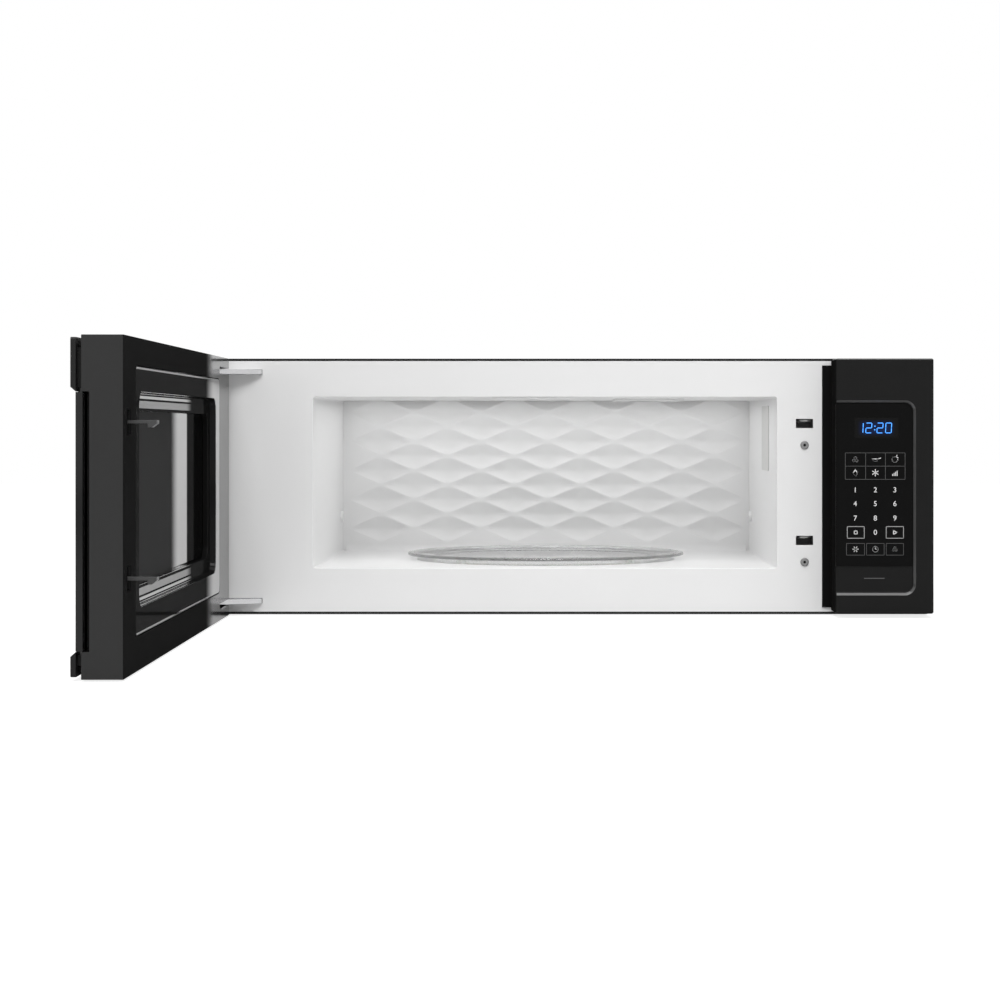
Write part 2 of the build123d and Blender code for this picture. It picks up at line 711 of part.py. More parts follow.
# The control board, on four posts behind the keypad, with the clock module in front.
with BuildPart() as control_board:
    board_x = (panel_left + panel_wall + board_side_margin, half_width - panel_wall - board_side_margin)
    block(board_x, (board_y, board_y + board_thickness), (board_low, board_high))
    block((display_x - display_width / 2, display_x + display_width / 2),
          (recess_y + panel_wall, board_y), (display_z - display_height / 2, display_z + display_height / 2))
    for part_rise, part_height, part_depth in board_parts:
        block((board_x[0] + board_part_margin, board_x[1] - board_part_margin),
              (board_y + board_thickness, board_y + board_thickness + part_depth),
              (board_low + part_rise, board_low + part_rise + part_height))
    for post_x in (board_x[0] + board_post_inset, board_x[1] - board_post_inset):
        for post_z in (board_low + board_post_inset, board_high - board_post_inset):
            rod((post_x, board_y - board_gap / 2, post_z), board_post_radius, board_gap, "Y")
save(control_board, "control_board")

# The thin black trim between the faceplate and the panel's side.
with BuildPart() as panel_side_strip:
    block((panel_left - strip_width, panel_left), (face_y - strip_thickness, face_y),
          (-half_height + strip_end_margin, half_height - strip_end_margin))
    chamfer(panel_side_strip.edges().filter_by(Axis.Z).sort_by(Axis.Y)[:2].sort_by(Axis.X)[0], strip_chamfer)
    rod((panel_left - strip_width / 3, face_y - strip_thickness, latch_lower_z), strip_hole_radius,
        sheet, "Y", Mode.SUBTRACT)
save(panel_side_strip, "panel_side_strip")

# ---------------------------------------------------------------- hinges and interlock

bush_radius = 6.5
pin_end_gap = 0.5
arm_shoulder = 12.0
arm_root = 4.0

# Two steel arms that come through the faceplate and carry the door's pins.
with BuildPart(Plane(origin=(hinge_x, hinge_y, 0))) as hinge_brackets:
    for side in (-1, 1):
        with BuildSketch(Plane(origin=(hinge_x, hinge_y, side * arm_z - arm_thickness / 2))):
            with BuildLine():
                Polyline((0, 0), arm_edge_start, arm_edge_end, (arm_reach, arm_back),
                         (arm_reach, hinge_from_face - arm_root),
                         (arm_reach - arm_shoulder, hinge_from_face - arm_shoulder), (arm_pad, 0), close=True)
            make_face()
            Circle(arm_pad)
        extrude(amount=arm_thickness)
        flange_z = sorted((side * (arm_z + arm_thickness / 2), side * (arm_z - flange_drop)))
        block((arm_edge_end[0], arm_reach), (hinge_from_face + sheet, arm_back), flange_z)
        pin_length = door_height / 2 - door_wall - arm_z - pin_end_gap
        rod((0, 0, side * (arm_z + pin_length / 2)), pin_radius, pin_length, "Z")
save(hinge_brackets, "hinge_brackets")

housing_width = 26.0
housing_depth = 44.0
housing_margin = 16.0
lever_width = 8.0
lever_thickness = 1.6
lever_length = 26.0
lever_from_face = 6.0
lever_pin_radius = 1.5
lever_boss_radius = 2.4
lever_drop = 1.0
pocket_side_gap = 0.75
pocket_low_gap = 1.0
pocket_high_gap = 4.0
pocket_back_gap = 4.0
bearing_depth = 2.0
bearing_end_gap = 0.5

pocket_width = slot_width + 2 * pocket_side_gap
lever_pin_y = face_y + lever_from_face + lever_length
lever_heights = [z + slot_height / 2 - lever_drop - lever_thickness / 2 for z in latch_heights]

# The moulded housing behind the slots, with a deep pocket and a lever bearing at each.
with BuildPart() as interlock_housing:
    block((latch_x - housing_width / 2, latch_x + housing_width / 2),
          (face_y + sheet, face_y + sheet + housing_depth),
          (latch_lower_z - screw_drop - housing_margin / 2, latch_upper_z + housing_margin))
    for z, lever_z in zip(latch_heights, lever_heights):
        block((latch_x - pocket_width / 2, latch_x + pocket_width / 2),
              (face_y, lever_pin_y + pocket_back_gap),
              (z - slot_height / 2 - pocket_low_gap, z + slot_height / 2 + pocket_high_gap), Mode.SUBTRACT)
        rod((latch_x, lever_pin_y, lever_z), lever_pin_radius + pin_clearance,
            pocket_width + 2 * bearing_depth, "X", Mode.SUBTRACT)
        rod((latch_x, face_y + screw_length / 2, z - screw_drop), screw_radius,
            screw_length + 2 * sheet, "Y", Mode.SUBTRACT)
save(interlock_housing, "interlock_housing")

# One sprung lever per slot, seen as the pale tab at the slot's top. A hook lifts it.
for label, lever_z in zip(("interlock_lever_upper", "interlock_lever_lower"), lever_heights):
    with BuildPart() as interlock_lever:
        block((latch_x - lever_width / 2, latch_x + lever_width / 2),
              (face_y + lever_from_face, lever_pin_y),
              (lever_z - lever_thickness / 2, lever_z + lever_thickness / 2))
        rod((latch_x, lever_pin_y, lever_z), lever_pin_radius,
            pocket_width + 2 * (bearing_depth - bearing_end_gap), "X")
        rod((latch_x, lever_pin_y, lever_z), lever_boss_radius, lever_width, "X")
    save(interlock_lever, label)

switch_size = (12.0, 28.0, 16.0)
switch_from_face = 22.0
switch_step = 20.0
switch_tab_size = (6.0, 4.0, 0.8)
switch_tab_step = 8.0

switch_places = [(latch_x + housing_width / 2 + switch_size[0] / 2, face_y + switch_from_face, z)
                 for z in (latch_upper_z, latch_lower_z, latch_lower_z - switch_step)]

# The three door switches on the housing's side.
with BuildPart() as door_switches:
    with Locations(*switch_places):
        Box(*switch_size)
    for x, y, z in switch_places:
        with Locations((x + (switch_size[0] + switch_tab_size[0]) / 2, y, z)):
            with GridLocations(1, switch_tab_step, 1, 3):
                Box(*switch_tab_size)
save(door_switches, "door_switches")

# ---------------------------------------------------------------- door

bezel_plate = border_rise
neck_inset = 8.0
hinge_slot_margin = 4.0
hinge_slot_gap = 0.8
neck_depth = 4.0
glass_lap = 3.0
glass_sheet = 3.2
strip_bar_width = 9.5
strip_bar_depth = 5.6
finger_slot = 4.7
finger_reach = 24.5
pocket_margin = 2.0
swing_radius = 30.0

cover_from_hinge = 64.0
cover_from_edge = 57.0
cover_from_bottom = 28.0
cover_from_top = 22.5
cover_corner = 8.0
cover_gap = 0.8
cover_sheet = 2.0
recess_left_margin = 27.0
recess_right_margin = 17.0
recess_low_margin = 20.5
recess_high_margin = 19.0
recess_step = 15.5
recess_first_drop = 6.0
recess_second_drop = 5.0
recess_round = 14.0
recess_taper = 12.0
choke_margin = 2.0
choke_gap = 4.0
pane_lap = 4.0
pane_thickness = 2.0
screen_thickness = 1.0

glass_top = bezel_height / 2 - border_top
glass_bottom = -bezel_height / 2 + border_bottom
glass_left = door_left + border_side
body_front = door_front + bezel_plate + neck_depth
bar_front = door_front + border_rise - 0.25
bar_back = bar_front + strip_bar_depth
slot_back = bar_back + finger_slot
cover_left = cover_from_hinge
cover_right = door_right - cover_from_edge
cover_bottom = -door_height / 2 + cover_from_bottom
cover_top = door_height / 2 - cover_from_top

along = (cos(radians(open_angle)), -sin(radians(open_angle)), 0)
through = (sin(radians(open_angle)), cos(radians(open_angle)), 0)
door_frame_plane = Plane(origin=(hinge_x, hinge_y, 0), x_dir=along, z_dir=(0, 0, 1))


def door_layer(depth):
    """The door's own upright plane at a depth through it, drawn as seen from the front."""
    origin = (hinge_x + through[0] * depth, hinge_y + through[1] * depth, 0)
    return Plane(origin=origin, x_dir=along, z_dir=(-through[0], -through[1], 0))


def hinge_clearance():
    """Cuts the slots that the fixed arms swing in, and the seats of the two bushes."""
    slot_low = arm_z - arm_thickness / 2 - hinge_slot_gap
    slot_high = arm_z + arm_thickness / 2 + hinge_slot_gap
    bush_top = door_height / 2 - door_wall
    for side in (-1, 1):
        block((door_left - 1, arm_reach + hinge_slot_margin), (-arm_pad - hinge_slot_gap, door_inner + 1),
              sorted((side * slot_low, side * slot_high)), Mode.SUBTRACT)
        block((-bush_radius - touch_gap, bush_radius + touch_gap), (-arm_pad - hinge_slot_gap, bush_radius),
              sorted((side * slot_low, side * bush_top)), Mode.SUBTRACT)


def span(left, right, low, high, corner=0.0, mode=Mode.ADD):
    """A rectangle between limits along and up the door, with rounded corners if asked."""
    with Locations(((left + right) / 2, (low + high) / 2)):
        if corner > 0:
            RectangleRounded(right - left, high - low, corner, mode=mode)
        else:
            Rectangle(right - left, high - low, mode=mode)


# The front frame of the door. It stands forward of the glass and is open at the free edge.
with BuildPart(door_frame_plane) as door_bezel:
    with BuildSketch(door_layer(door_front)):
        span(door_left, door_right, -bezel_height / 2, bezel_height / 2, panel_edge)
    extrude(amount=-bezel_plate)
    with BuildSketch(door_layer(door_front)):
        span(glass_left - bevel, door_right + border_side, glass_bottom - bevel, glass_top + bevel,
             recess_corner + bevel)
    extrude(amount=-bezel_plate, taper=bevel_angle, mode=Mode.SUBTRACT)
    with BuildSketch(door_layer(door_front + bezel_plate)):
        span(door_left + neck_inset, door_right - neck_inset, -bezel_height / 2 + neck_inset,
             bezel_height / 2 - neck_inset)
        span(glass_left - glass_lap, door_right, glass_bottom - glass_lap, glass_top + glass_lap,
             0, Mode.SUBTRACT)
    extrude(amount=-neck_depth)
    hinge_clearance()
save(door_bezel, "door_bezel")

bar_round = 1.0
bar_left = door_right - strip_bar_width

# The black outer glass, held behind the frame's inner edge.
with BuildPart(door_frame_plane) as door_glass:
    with BuildSketch(door_layer(door_front + bezel_plate)):
        span(glass_left - glass_lap, bar_left - touch_gap, glass_bottom - glass_lap, glass_top + glass_lap)
    extrude(amount=-glass_sheet)
save(door_glass, "door_glass")

# The bar along the free edge. Fingers go behind it to pull the door.
with BuildPart(door_frame_plane) as door_pull_bar:
    block((bar_left, door_right), (bar_front, bar_back), (glass_bottom + touch_gap, glass_top - touch_gap))
    fillet(door_pull_bar.edges().filter_by(Axis.Z), bar_round)
save(door_pull_bar, "door_pull_bar")

hook_width_u = 12.0
hook_thick = 2.5
hook_out = 22.0
hook_barb = 3.0
barb_length = 7.0
barb_point = 4.0
hook_slot_tall = 19.0
hook_side_gap = 2.0
lower_guide_rise = 15.0
upper_guide_drop = 14.0
guide_width = 20.0
guide_tall = 12.0
spring_post_width = 10.0
spring_post_tall = 6.0
rail_thickness = 3.0
rail_reach = 20.0
spring_length = 22.0
inner_flange = 2.5

latch_u = latch_x - hinge_x
guide_heights = (latch_lower_z + lower_guide_rise, latch_upper_z - upper_guide_drop)
pocket_left = door_right - finger_reach
rail_back = door_inner - inner_flange - touch_gap
rail_front = rail_back - rail_thickness
rail_low = latch_lower_z - rail_reach
rail_high = latch_upper_z + rail_reach
post_top = rail_low - spring_length

# The door's moulded body: a hollow tray that holds the latch, the screen and the inner cover.
with BuildPart(door_frame_plane) as door_body:
    for inset, mode in ((0, Mode.ADD), (door_wall, Mode.SUBTRACT)):
        corner = swing_radius - inset
        left = door_left + inset
        back = door_inner - inset
        arc_side = (left, sqrt(corner**2 - left**2))
        arc_back = (-sqrt(corner**2 - back**2), back)
        with BuildSketch(Plane(origin=(hinge_x, hinge_y, -door_height / 2 + inset), x_dir=along)):
            with BuildLine():
                Polyline(arc_side, (left, body_front + inset), (door_right - inset, body_front + inset),
                         (door_right - inset, back), arc_back)
                RadiusArc(arc_back, arc_side, -corner)
            make_face()
        extrude(amount=door_height - 2 * inset, mode=mode)
    block((pocket_left - pocket_margin, door_right), (body_front, slot_back + pocket_margin),
          (glass_bottom - pocket_margin, glass_top + pocket_margin))
    block((pocket_left, door_right + 1), (body_front - 1, slot_back), (glass_bottom, glass_top),
          Mode.SUBTRACT)
    with BuildSketch(door_layer(door_inner)):
        span(cover_left - cover_gap, cover_right + cover_gap, cover_bottom - cover_gap,
             cover_top + cover_gap, cover_corner + cover_gap)
    extrude(amount=inner_flange + 1, mode=Mode.SUBTRACT, both=True)
    with BuildSketch(door_layer(body_front)):
        span(cover_left + recess_left_margin + recess_step, cover_right - recess_right_margin - recess_step,
             cover_bottom + recess_low_margin + recess_step, cover_top - recess_high_margin - recess_step)
    extrude(amount=door_wall + 1, mode=Mode.SUBTRACT, both=True)
    for z in latch_heights:
        block((latch_u - hook_width_u / 2 - hook_side_gap, latch_u + hook_width_u / 2 + hook_side_gap),
              (door_inner - inner_flange - 1, door_inner + 1),
              (z - hook_slot_tall / 2, z + hook_slot_tall / 2), Mode.SUBTRACT)
    hinge_clearance()
    for z in guide_heights:
        block((latch_u - guide_width / 2, latch_u + guide_width / 2),
              (slot_back + pocket_margin, rail_front - touch_gap), (z - guide_tall / 2, z + guide_tall / 2))
    block((latch_u - spring_post_width / 2, latch_u + spring_post_width / 2),
          (body_front + door_wall, rail_back), (post_top - spring_post_tall, post_top))
save(door_body, "door_body")

# Round bushes in the door's top and bottom, in which the hinge pins turn.
with BuildPart(door_frame_plane) as hinge_bushes:
    bush_low = arm_z + arm_thickness / 2 + hinge_slot_gap
    bush_high = door_height / 2 - door_wall
    for side in (-1, 1):
        rod((0, 0, side * (bush_low + bush_high) / 2), bush_radius, bush_high - bush_low, "Z")
        rod((0, 0, side * (bush_low + bush_high) / 2), pin_radius + pin_clearance,
            bush_high - bush_low, "Z", Mode.SUBTRACT)
save(hinge_bushes, "hinge_bushes")

window_left = cover_left + recess_left_margin
window_right = cover_right - recess_right_margin
window_low = cover_bottom + recess_low_margin
window_high = cover_top - recess_high_margin
pane_left = window_left + recess_step
pane_right = window_right - recess_step
pane_low = window_low + recess_step
pane_high = window_high - recess_step
ledge_depth = door_inner - recess_first_drop
pane_front = ledge_depth - recess_second_drop

# The glossy inner cover over the choke, with a window set back in two steps.
with BuildPart(door_frame_plane) as door_inner_cover:
    with BuildSketch(door_layer(door_inner)):
        span(cover_left, cover_right, cover_bottom, cover_top, cover_corner)
    extrude(amount=cover_sheet)
    with BuildSketch(door_layer(door_inner)):
        span(window_left - cover_sheet, window_right + cover_sheet, window_low - cover_sheet,
             window_high + cover_sheet, recess_round + cover_sheet)
    extrude(amount=recess_first_drop + cover_sheet)
    with BuildSketch(door_layer(ledge_depth)):
        span(pane_left - cover_sheet, pane_right + cover_sheet, pane_low - cover_sheet,
             pane_high + cover_sheet, recess_round)
    extrude(amount=recess_second_drop)
    with BuildSketch(door_layer(door_inner)):
        span(window_left, window_right, window_low, window_high, recess_round)
    extrude(amount=recess_first_drop, taper=recess_taper, mode=Mode.SUBTRACT)
    with BuildSketch(door_layer(ledge_depth)):
        span(pane_left, pane_right, pane_low, pane_high, recess_round)
    extrude(amount=recess_second_drop, mode=Mode.SUBTRACT)
save(door_inner_cover, "door_inner_cover")

# The clear inner pane, bonded behind the cover's window.
with BuildPart(door_frame_plane) as door_inner_pane:
    with BuildSketch(door_layer(pane_front)):
        span(pane_left - pane_lap, pane_right + pane_lap, pane_low - pane_lap, pane_high + pane_lap,
             recess_round)
    extrude(amount=pane_thickness)
save(door_inner_pane, "door_inner_pane")

# The steel stamping behind the cover: a punched screen for the window and, round it, the
# folded choke channel that keeps the microwaves in.
with BuildPart(door_frame_plane) as door_screen_frame:
    choke_back = door_inner - cover_sheet
    choke_front = pane_front - pane_thickness
    for fold, depth, mode in ((0, 0, Mode.ADD), (sheet, sheet, Mode.SUBTRACT)):
        edge = choke_margin + fold
        gap = choke_gap + fold
        with BuildSketch(door_layer(choke_back)):
            span(cover_left + edge, cover_right - edge, cover_bottom + edge, cover_top - edge)
            span(window_left - gap, window_right + gap, window_low - gap, window_high + gap,
                 recess_round + gap, Mode.SUBTRACT)
        extrude(amount=choke_back - choke_front - depth, mode=mode)
    with BuildSketch(door_layer(choke_front)):
        span(cover_left + choke_margin, cover_right - choke_margin, cover_bottom + choke_margin,
             cover_top - choke_margin)
    extrude(amount=screen_thickness)
save(door_screen_frame, "door_screen_frame")

# The latch: one sliding rail with a hook for each slot of the faceplate.
with BuildPart(door_frame_plane) as latch_rail:
    block((latch_u - hook_width_u / 2, latch_u + hook_width_u / 2), (rail_front, rail_back),
          (rail_low, rail_high))
    for z in latch_heights:
        tip = door_inner + hook_out
        block((latch_u - hook_width_u / 2, latch_u + hook_width_u / 2), (rail_front, tip),
              (z - hook_thick / 2, z + hook_thick / 2))
        with BuildSketch(Plane(origin=(hinge_x, hinge_y, 0), x_dir=through, z_dir=along)
                         .offset(latch_u - hook_width_u / 2)):
            with BuildLine():
                Polyline((tip - barb_length, z - hook_thick / 2), (tip, z - hook_thick / 2),
                         (tip - barb_point, z - hook_thick / 2 - hook_barb),
                         (tip - barb_length, z - hook_thick / 2 - hook_barb), close=True)
            make_face()
        extrude(amount=hook_width_u)
save(latch_rail, "latch_rail")

# The latch's spring, between the rail's foot and a post of the door body.
with BuildPart(door_frame_plane) as latch_spring:
    rod((latch_u, (rail_front + rail_back) / 2, rail_low - spring_length / 2), rail_thickness / 2,
        spring_length, "Z")
save(latch_spring, "latch_spring")

# ---------------------------------------------------------------- hood fan, filters and lamps

damper_pin_radius = 1.5
damper_barrel_radius = 2.4
damper_pin_from_wall = 3.0
damper_drop = 4.0
damper_ledge = 3.0
damper_edge_gap = 1.0

collar_low = inner_top - collar_drop
collar_high = half_height + collar_rise
collar_x = (-duct_width / 2, duct_width / 2)
damper_pin_y = duct_back - sheet - damper_pin_from_wall
damper_z = half_height - damper_drop

# The collar for the duct through the wall cabinet, with a low flange on the casing's top.
with BuildPart() as duct_collar:
    block(collar_x, (duct_front, duct_back), (collar_low, collar_high))
    block((collar_x[0] - collar_flange, collar_x[1] + collar_flange),
          (duct_front - collar_flange, -touch_gap), (half_height, half_height + sheet))
    block((collar_x[0] + sheet, collar_x[1] - sheet), (duct_front + sheet, duct_back - sheet),
          (collar_low - 1, collar_high + 1), Mode.SUBTRACT)
    block((collar_x[0] + sheet, collar_x[1] - sheet), (duct_front + sheet, duct_front + sheet + damper_ledge),
          (collar_low, damper_z - sheet / 2 - touch_gap))
    rod((0, damper_pin_y, damper_z), damper_pin_radius + pin_clearance, duct_width + 2 * sheet, "X",
        Mode.SUBTRACT)
save(duct_collar, "duct_collar")

# The flap in the collar. It drops shut by itself and the fan's air lifts it.
with BuildPart() as duct_damper:
    flap_x = (collar_x[0] + sheet + damper_edge_gap, collar_x[1] - sheet - damper_edge_gap)
    block(flap_x, (duct_front + sheet + damper_edge_gap, damper_pin_y),
          (damper_z - sheet / 2, damper_z + sheet / 2))
    rod((0, damper_pin_y, damper_z), damper_barrel_radius, flap_x[1] - flap_x[0], "X")
    rod((0, damper_pin_y, damper_z), damper_pin_radius, duct_width - touch_gap, "X")
save(duct_damper, "duct_damper")

blower_width = 82.0
blower_from_cavity = 11.0
blower_y = -150.0
scroll_radius = 86.0
scroll_wall = 2.0
scroll_outlet_height = 66.0
scroll_outlet_gap = 13.5
scroll_foot = 30.0
wheel_radius = 62.0
wheel_gap = 4.0
wheel_inner = 49.0
wheel_disc = 2.0
wheel_hub_length = 20.0
wheel_hub_wall = 6.0
blade_count = 24
blade_thickness = 1.4
blade_lean = 20.0
blower_shaft = 4.0
shaft_hole_gap = 4.0
shaft_from_inlet = 10.0
blower_motor_radius = 38.0
inlet_radius = 46.0

blower_x = (cavity_left - blower_from_cavity - blower_width, cavity_left - blower_from_cavity)
blower_z = cavity_centre_z
scroll_outlet_back = rear_panel_front - scroll_outlet_gap
wheel_x = (blower_x[0] + scroll_wall + wheel_gap, blower_x[1] - scroll_wall - wheel_gap)

side_plane = Plane(origin=(blower_x[0], blower_y, blower_z), x_dir=(0, 1, 0), z_dir=(1, 0, 0))
blower_mid = (blower_x[0] + blower_x[1]) / 2
outlet_run = scroll_outlet_back - blower_y

# The scroll housing of the hood fan, left of the cavity, blowing into the duct behind it.
with BuildPart() as blower_housing:
    with BuildSketch(side_plane):
        Circle(scroll_radius)
        with Locations((outlet_run / 2, scroll_radius - scroll_outlet_height / 2)):
            Rectangle(outlet_run, scroll_outlet_height)
    extrude(amount=blower_x[1] - blower_x[0])
    with BuildSketch(side_plane.offset(scroll_wall)):
        Circle(scroll_radius - scroll_wall)
        with Locations((outlet_run / 2 + scroll_wall, scroll_radius - scroll_outlet_height / 2)):
            Rectangle(outlet_run, scroll_outlet_height - 2 * scroll_wall)
    extrude(amount=blower_x[1] - blower_x[0] - 2 * scroll_wall, mode=Mode.SUBTRACT)
    rod((blower_x[1], blower_y, blower_z), inlet_radius, 4 * scroll_wall, "X", Mode.SUBTRACT)
    rod((blower_x[0], blower_y, blower_z), blower_shaft + shaft_hole_gap, 4 * scroll_wall, "X", Mode.SUBTRACT)
    block((blower_x[0], blower_x[0] + scroll_foot), (blower_y - scroll_foot, blower_y + scroll_foot),
          (base_top, blower_z - sqrt(scroll_radius**2 - scroll_foot**2)))
save(blower_housing, "blower_housing")

# The hood fan's motor, flat against the housing, with its shaft through the wheel.
with BuildPart() as blower_motor:
    motor_left = -inner_side + touch_gap
    shaft_end = blower_x[1] - shaft_from_inlet
    rod(((motor_left + blower_x[0]) / 2, blower_y, blower_z), blower_motor_radius,
        blower_x[0] - motor_left, "X")
    rod(((blower_x[0] + shaft_end) / 2, blower_y, blower_z), blower_shaft, shaft_end - blower_x[0], "X")
save(blower_motor, "blower_motor")

# The squirrel-cage wheel: a hub disc, a ring and forward-leaning blades between them.
with BuildPart() as blower_wheel:
    rod((wheel_x[0] + wheel_disc / 2, blower_y, blower_z), wheel_radius, wheel_disc, "X")
    rod((wheel_x[0] + wheel_hub_length / 2, blower_y, blower_z), blower_shaft + wheel_hub_wall,
        wheel_hub_length, "X")
    with BuildSketch(side_plane.offset(wheel_x[1] - wheel_disc - blower_x[0])):
        Circle(wheel_radius)
        Circle(wheel_inner, mode=Mode.SUBTRACT)
    extrude(amount=wheel_disc)
    with BuildSketch(side_plane.offset(wheel_x[0] - blower_x[0])):
        with PolarLocations((wheel_radius + wheel_inner) / 2, blade_count):
            Rectangle(wheel_radius - wheel_inner - 1, blade_thickness, rotation=blade_lean)
    extrude(amount=wheel_x[1] - wheel_x[0])
    rod((blower_mid, blower_y, blower_z), blower_shaft + pin_clearance,
        blower_x[1] - blower_x[0], "X", Mode.SUBTRACT)
save(blower_wheel, "blower_wheel")

filter_frame = 6.0
filter_lip = 6.0
filter_lip_thickness = 2.0
filter_sink = 1.0
tab_width = 30.0
tab_depth = 14.0
charcoal_margin = 8.0

# Two aluminium frames with knitted mesh pads, flush in the underside.
with BuildPart() as grease_filters:
    for side in (-1, 1):
        fx = (side * filter_x - filter_width / 2 + touch_gap, side * filter_x + filter_width / 2 - touch_gap)
        fy = (filter_y - filter_depth / 2 + touch_gap, filter_y + filter_depth / 2 - touch_gap)
        block(fx, fy, (-half_height, -half_height + filter_height))
        block((fx[0] + filter_frame, fx[1] - filter_frame), (fy[0] + filter_frame, fy[1] - filter_frame),
              (-half_height - filter_sink, -half_height + filter_sink), Mode.SUBTRACT)
        block((side * filter_x - tab_width / 2, side * filter_x + tab_width / 2),
              (fy[0] + filter_frame, fy[0] + filter_frame + tab_depth),
              (-half_height, -half_height + filter_sink))
        block((fx[0] - filter_lip, fx[1] + filter_lip), fy,
              (base_top + touch_gap, base_top + touch_gap + filter_lip_thickness))
save(grease_filters, "grease_filters")

# Charcoal pads on top of the grease filters, for use without a duct.
with BuildPart() as charcoal_filters:
    for side in (-1, 1):
        block((side * filter_x - filter_width / 2 + charcoal_margin,
               side * filter_x + filter_width / 2 - charcoal_margin),
              (filter_y - filter_depth / 2 + charcoal_margin, filter_y + filter_depth / 2 - charcoal_margin),
              (-half_height + filter_height, -half_height + filter_height + charcoal_height))
save(charcoal_filters, "charcoal_filters")

lens_thickness = 2.0
lamp_box_height = 16.0
lamp_box_margin = 5.0
lamp_box_wall = 2.0
light_size = (5.0, 5.0, 3.0)
light_pitch = 14.0
light_count = 5

# Frosted glass lenses over the two cooktop lamps.
with BuildPart() as cooktop_lamp_lenses:
    for side in (-1, 1):
        block((side * filter_x - lens_width / 2 + touch_gap, side * filter_x + lens_width / 2 - touch_gap),
              (lens_y - lens_depth / 2 + touch_gap, lens_y + lens_depth / 2 - touch_gap),
              (-half_height, -half_height + lens_thickness))
save(cooktop_lamp_lenses, "cooktop_lamp_lenses")

# The lamp boxes above the lenses, each with a row of light-emitting diodes.
with BuildPart() as cooktop_lamps:
    for side in (-1, 1):
        for margin, top, mode in ((lamp_box_margin, 0, Mode.ADD), (0, lamp_box_wall, Mode.SUBTRACT)):
            block((side * filter_x - lens_width / 2 - margin, side * filter_x + lens_width / 2 + margin),
                  (lens_y - lens_depth / 2 - margin, lens_y + lens_depth / 2 + margin),
                  (base_top, base_top + lamp_box_height - top), mode)
        light_z = base_top + lamp_box_height - lamp_box_wall - light_size[2] / 2
        with Locations((side * filter_x, lens_y, light_z)):
            with GridLocations(light_pitch, 1, light_count, 1):
                Box(*light_size)
save(cooktop_lamps, "cooktop_lamps")

# ---------------------------------------------------------------- high-voltage side

guide_width = 40.0
guide_margin = 12.0
antenna_radius = 8.0
antenna_reach = 25.0
antenna_gap = 2.0

guide_x = (cavity_right + sheet, cavity_right + sheet + guide_width)
guide_y = (wave_y - wave_port_width / 2 - guide_margin, wave_y + wave_port_width / 2 + guide_margin)
guide_half_height = wave_port_height / 2 + guide_margin
guide_z = (wave_port_z - guide_half_height, wave_port_z + guide_half_height)

# The waveguide: a steel duct on the cavity's right wall, open to the port.
with BuildPart() as waveguide:
    block(guide_x, guide_y, guide_z)
    block((guide_x[0] - 1, guide_x[1] - sheet), (guide_y[0] + guide_margin, guide_y[1] - guide_margin),
          (guide_z[0] + guide_margin, guide_z[1] - guide_margin), Mode.SUBTRACT)
    rod((guide_x[1], wave_y, wave_port_z), antenna_radius + antenna_gap, 4 * sheet, "X", Mode.SUBTRACT)
save(waveguide, "waveguide")

magnetron_length = 62.0
magnetron_half_y = 42.0
magnetron_half_z = 34.0
yoke_sheet = 2.0
anode_radius = 20.0
magnet_radius = 27.0
magnet_thickness = 12.0
fin_count = 7
fin_thickness = 1.0
fin_margin = 17.0
fin_inset = 3.0

magnetron_x = (guide_x[1], guide_x[1] + magnetron_length)

# The magnetron: an anode tube with cooling fins in an open steel yoke.
with BuildPart() as magnetron:
    block(magnetron_x, (wave_y - magnetron_half_y, wave_y + magnetron_half_y),
          (wave_port_z - magnetron_half_z, wave_port_z + magnetron_half_z))
    yoke_z = (wave_port_z - magnetron_half_z + yoke_sheet, wave_port_z + magnetron_half_z - yoke_sheet)
    block((magnetron_x[0] + yoke_sheet, magnetron_x[1] - yoke_sheet),
          (wave_y - 2 * magnetron_half_y, wave_y + 2 * magnetron_half_y), yoke_z, Mode.SUBTRACT)
    rod((sum(magnetron_x) / 2, wave_y, wave_port_z), anode_radius, magnetron_length, "X")
    for end_x, inward in ((magnetron_x[0], 1), (magnetron_x[1], -1)):
        rod((end_x + inward * (yoke_sheet + magnet_thickness / 2), wave_y, wave_port_z), magnet_radius,
            magnet_thickness, "X")
    for fin in range(fin_count):
        fin_x = magnetron_x[0] + fin_margin + fin * (magnetron_length - 2 * fin_margin) / (fin_count - 1)
        block((fin_x - fin_thickness / 2, fin_x + fin_thickness / 2),
              (wave_y - magnetron_half_y + fin_inset, wave_y + magnetron_half_y - fin_inset), yoke_z)
    rod((magnetron_x[0] - antenna_reach / 2, wave_y, wave_port_z), antenna_radius, antenna_reach, "X")
save(magnetron, "magnetron")

core_width = 96.0
core_depth = 76.0
core_height = 80.0
core_leg = 17.0
core_from_side = 31.0
core_from_face = 79.0

core_x = (inner_side - core_from_side - core_width, inner_side - core_from_side)
core_y = (face_y + core_from_face, face_y + core_from_face + core_depth)
core_mid = sum(core_x) / 2

# The laminated core of the high-voltage transformer.
with BuildPart() as transformer_core:
    block(core_x, core_y, (base_top, base_top + core_height))
    for window in ((core_x[0] + core_leg, core_mid - core_leg), (core_mid + core_leg, core_x[1] - core_leg)):
        block(window, (core_y[0] - 1, core_y[1] + 1),
              (base_top + core_leg, base_top + core_height - core_leg), Mode.SUBTRACT)
save(transformer_core, "transformer_core")

coil_overhang = 12.0
first_coil_height = 20.0
coil_gap = 3.0

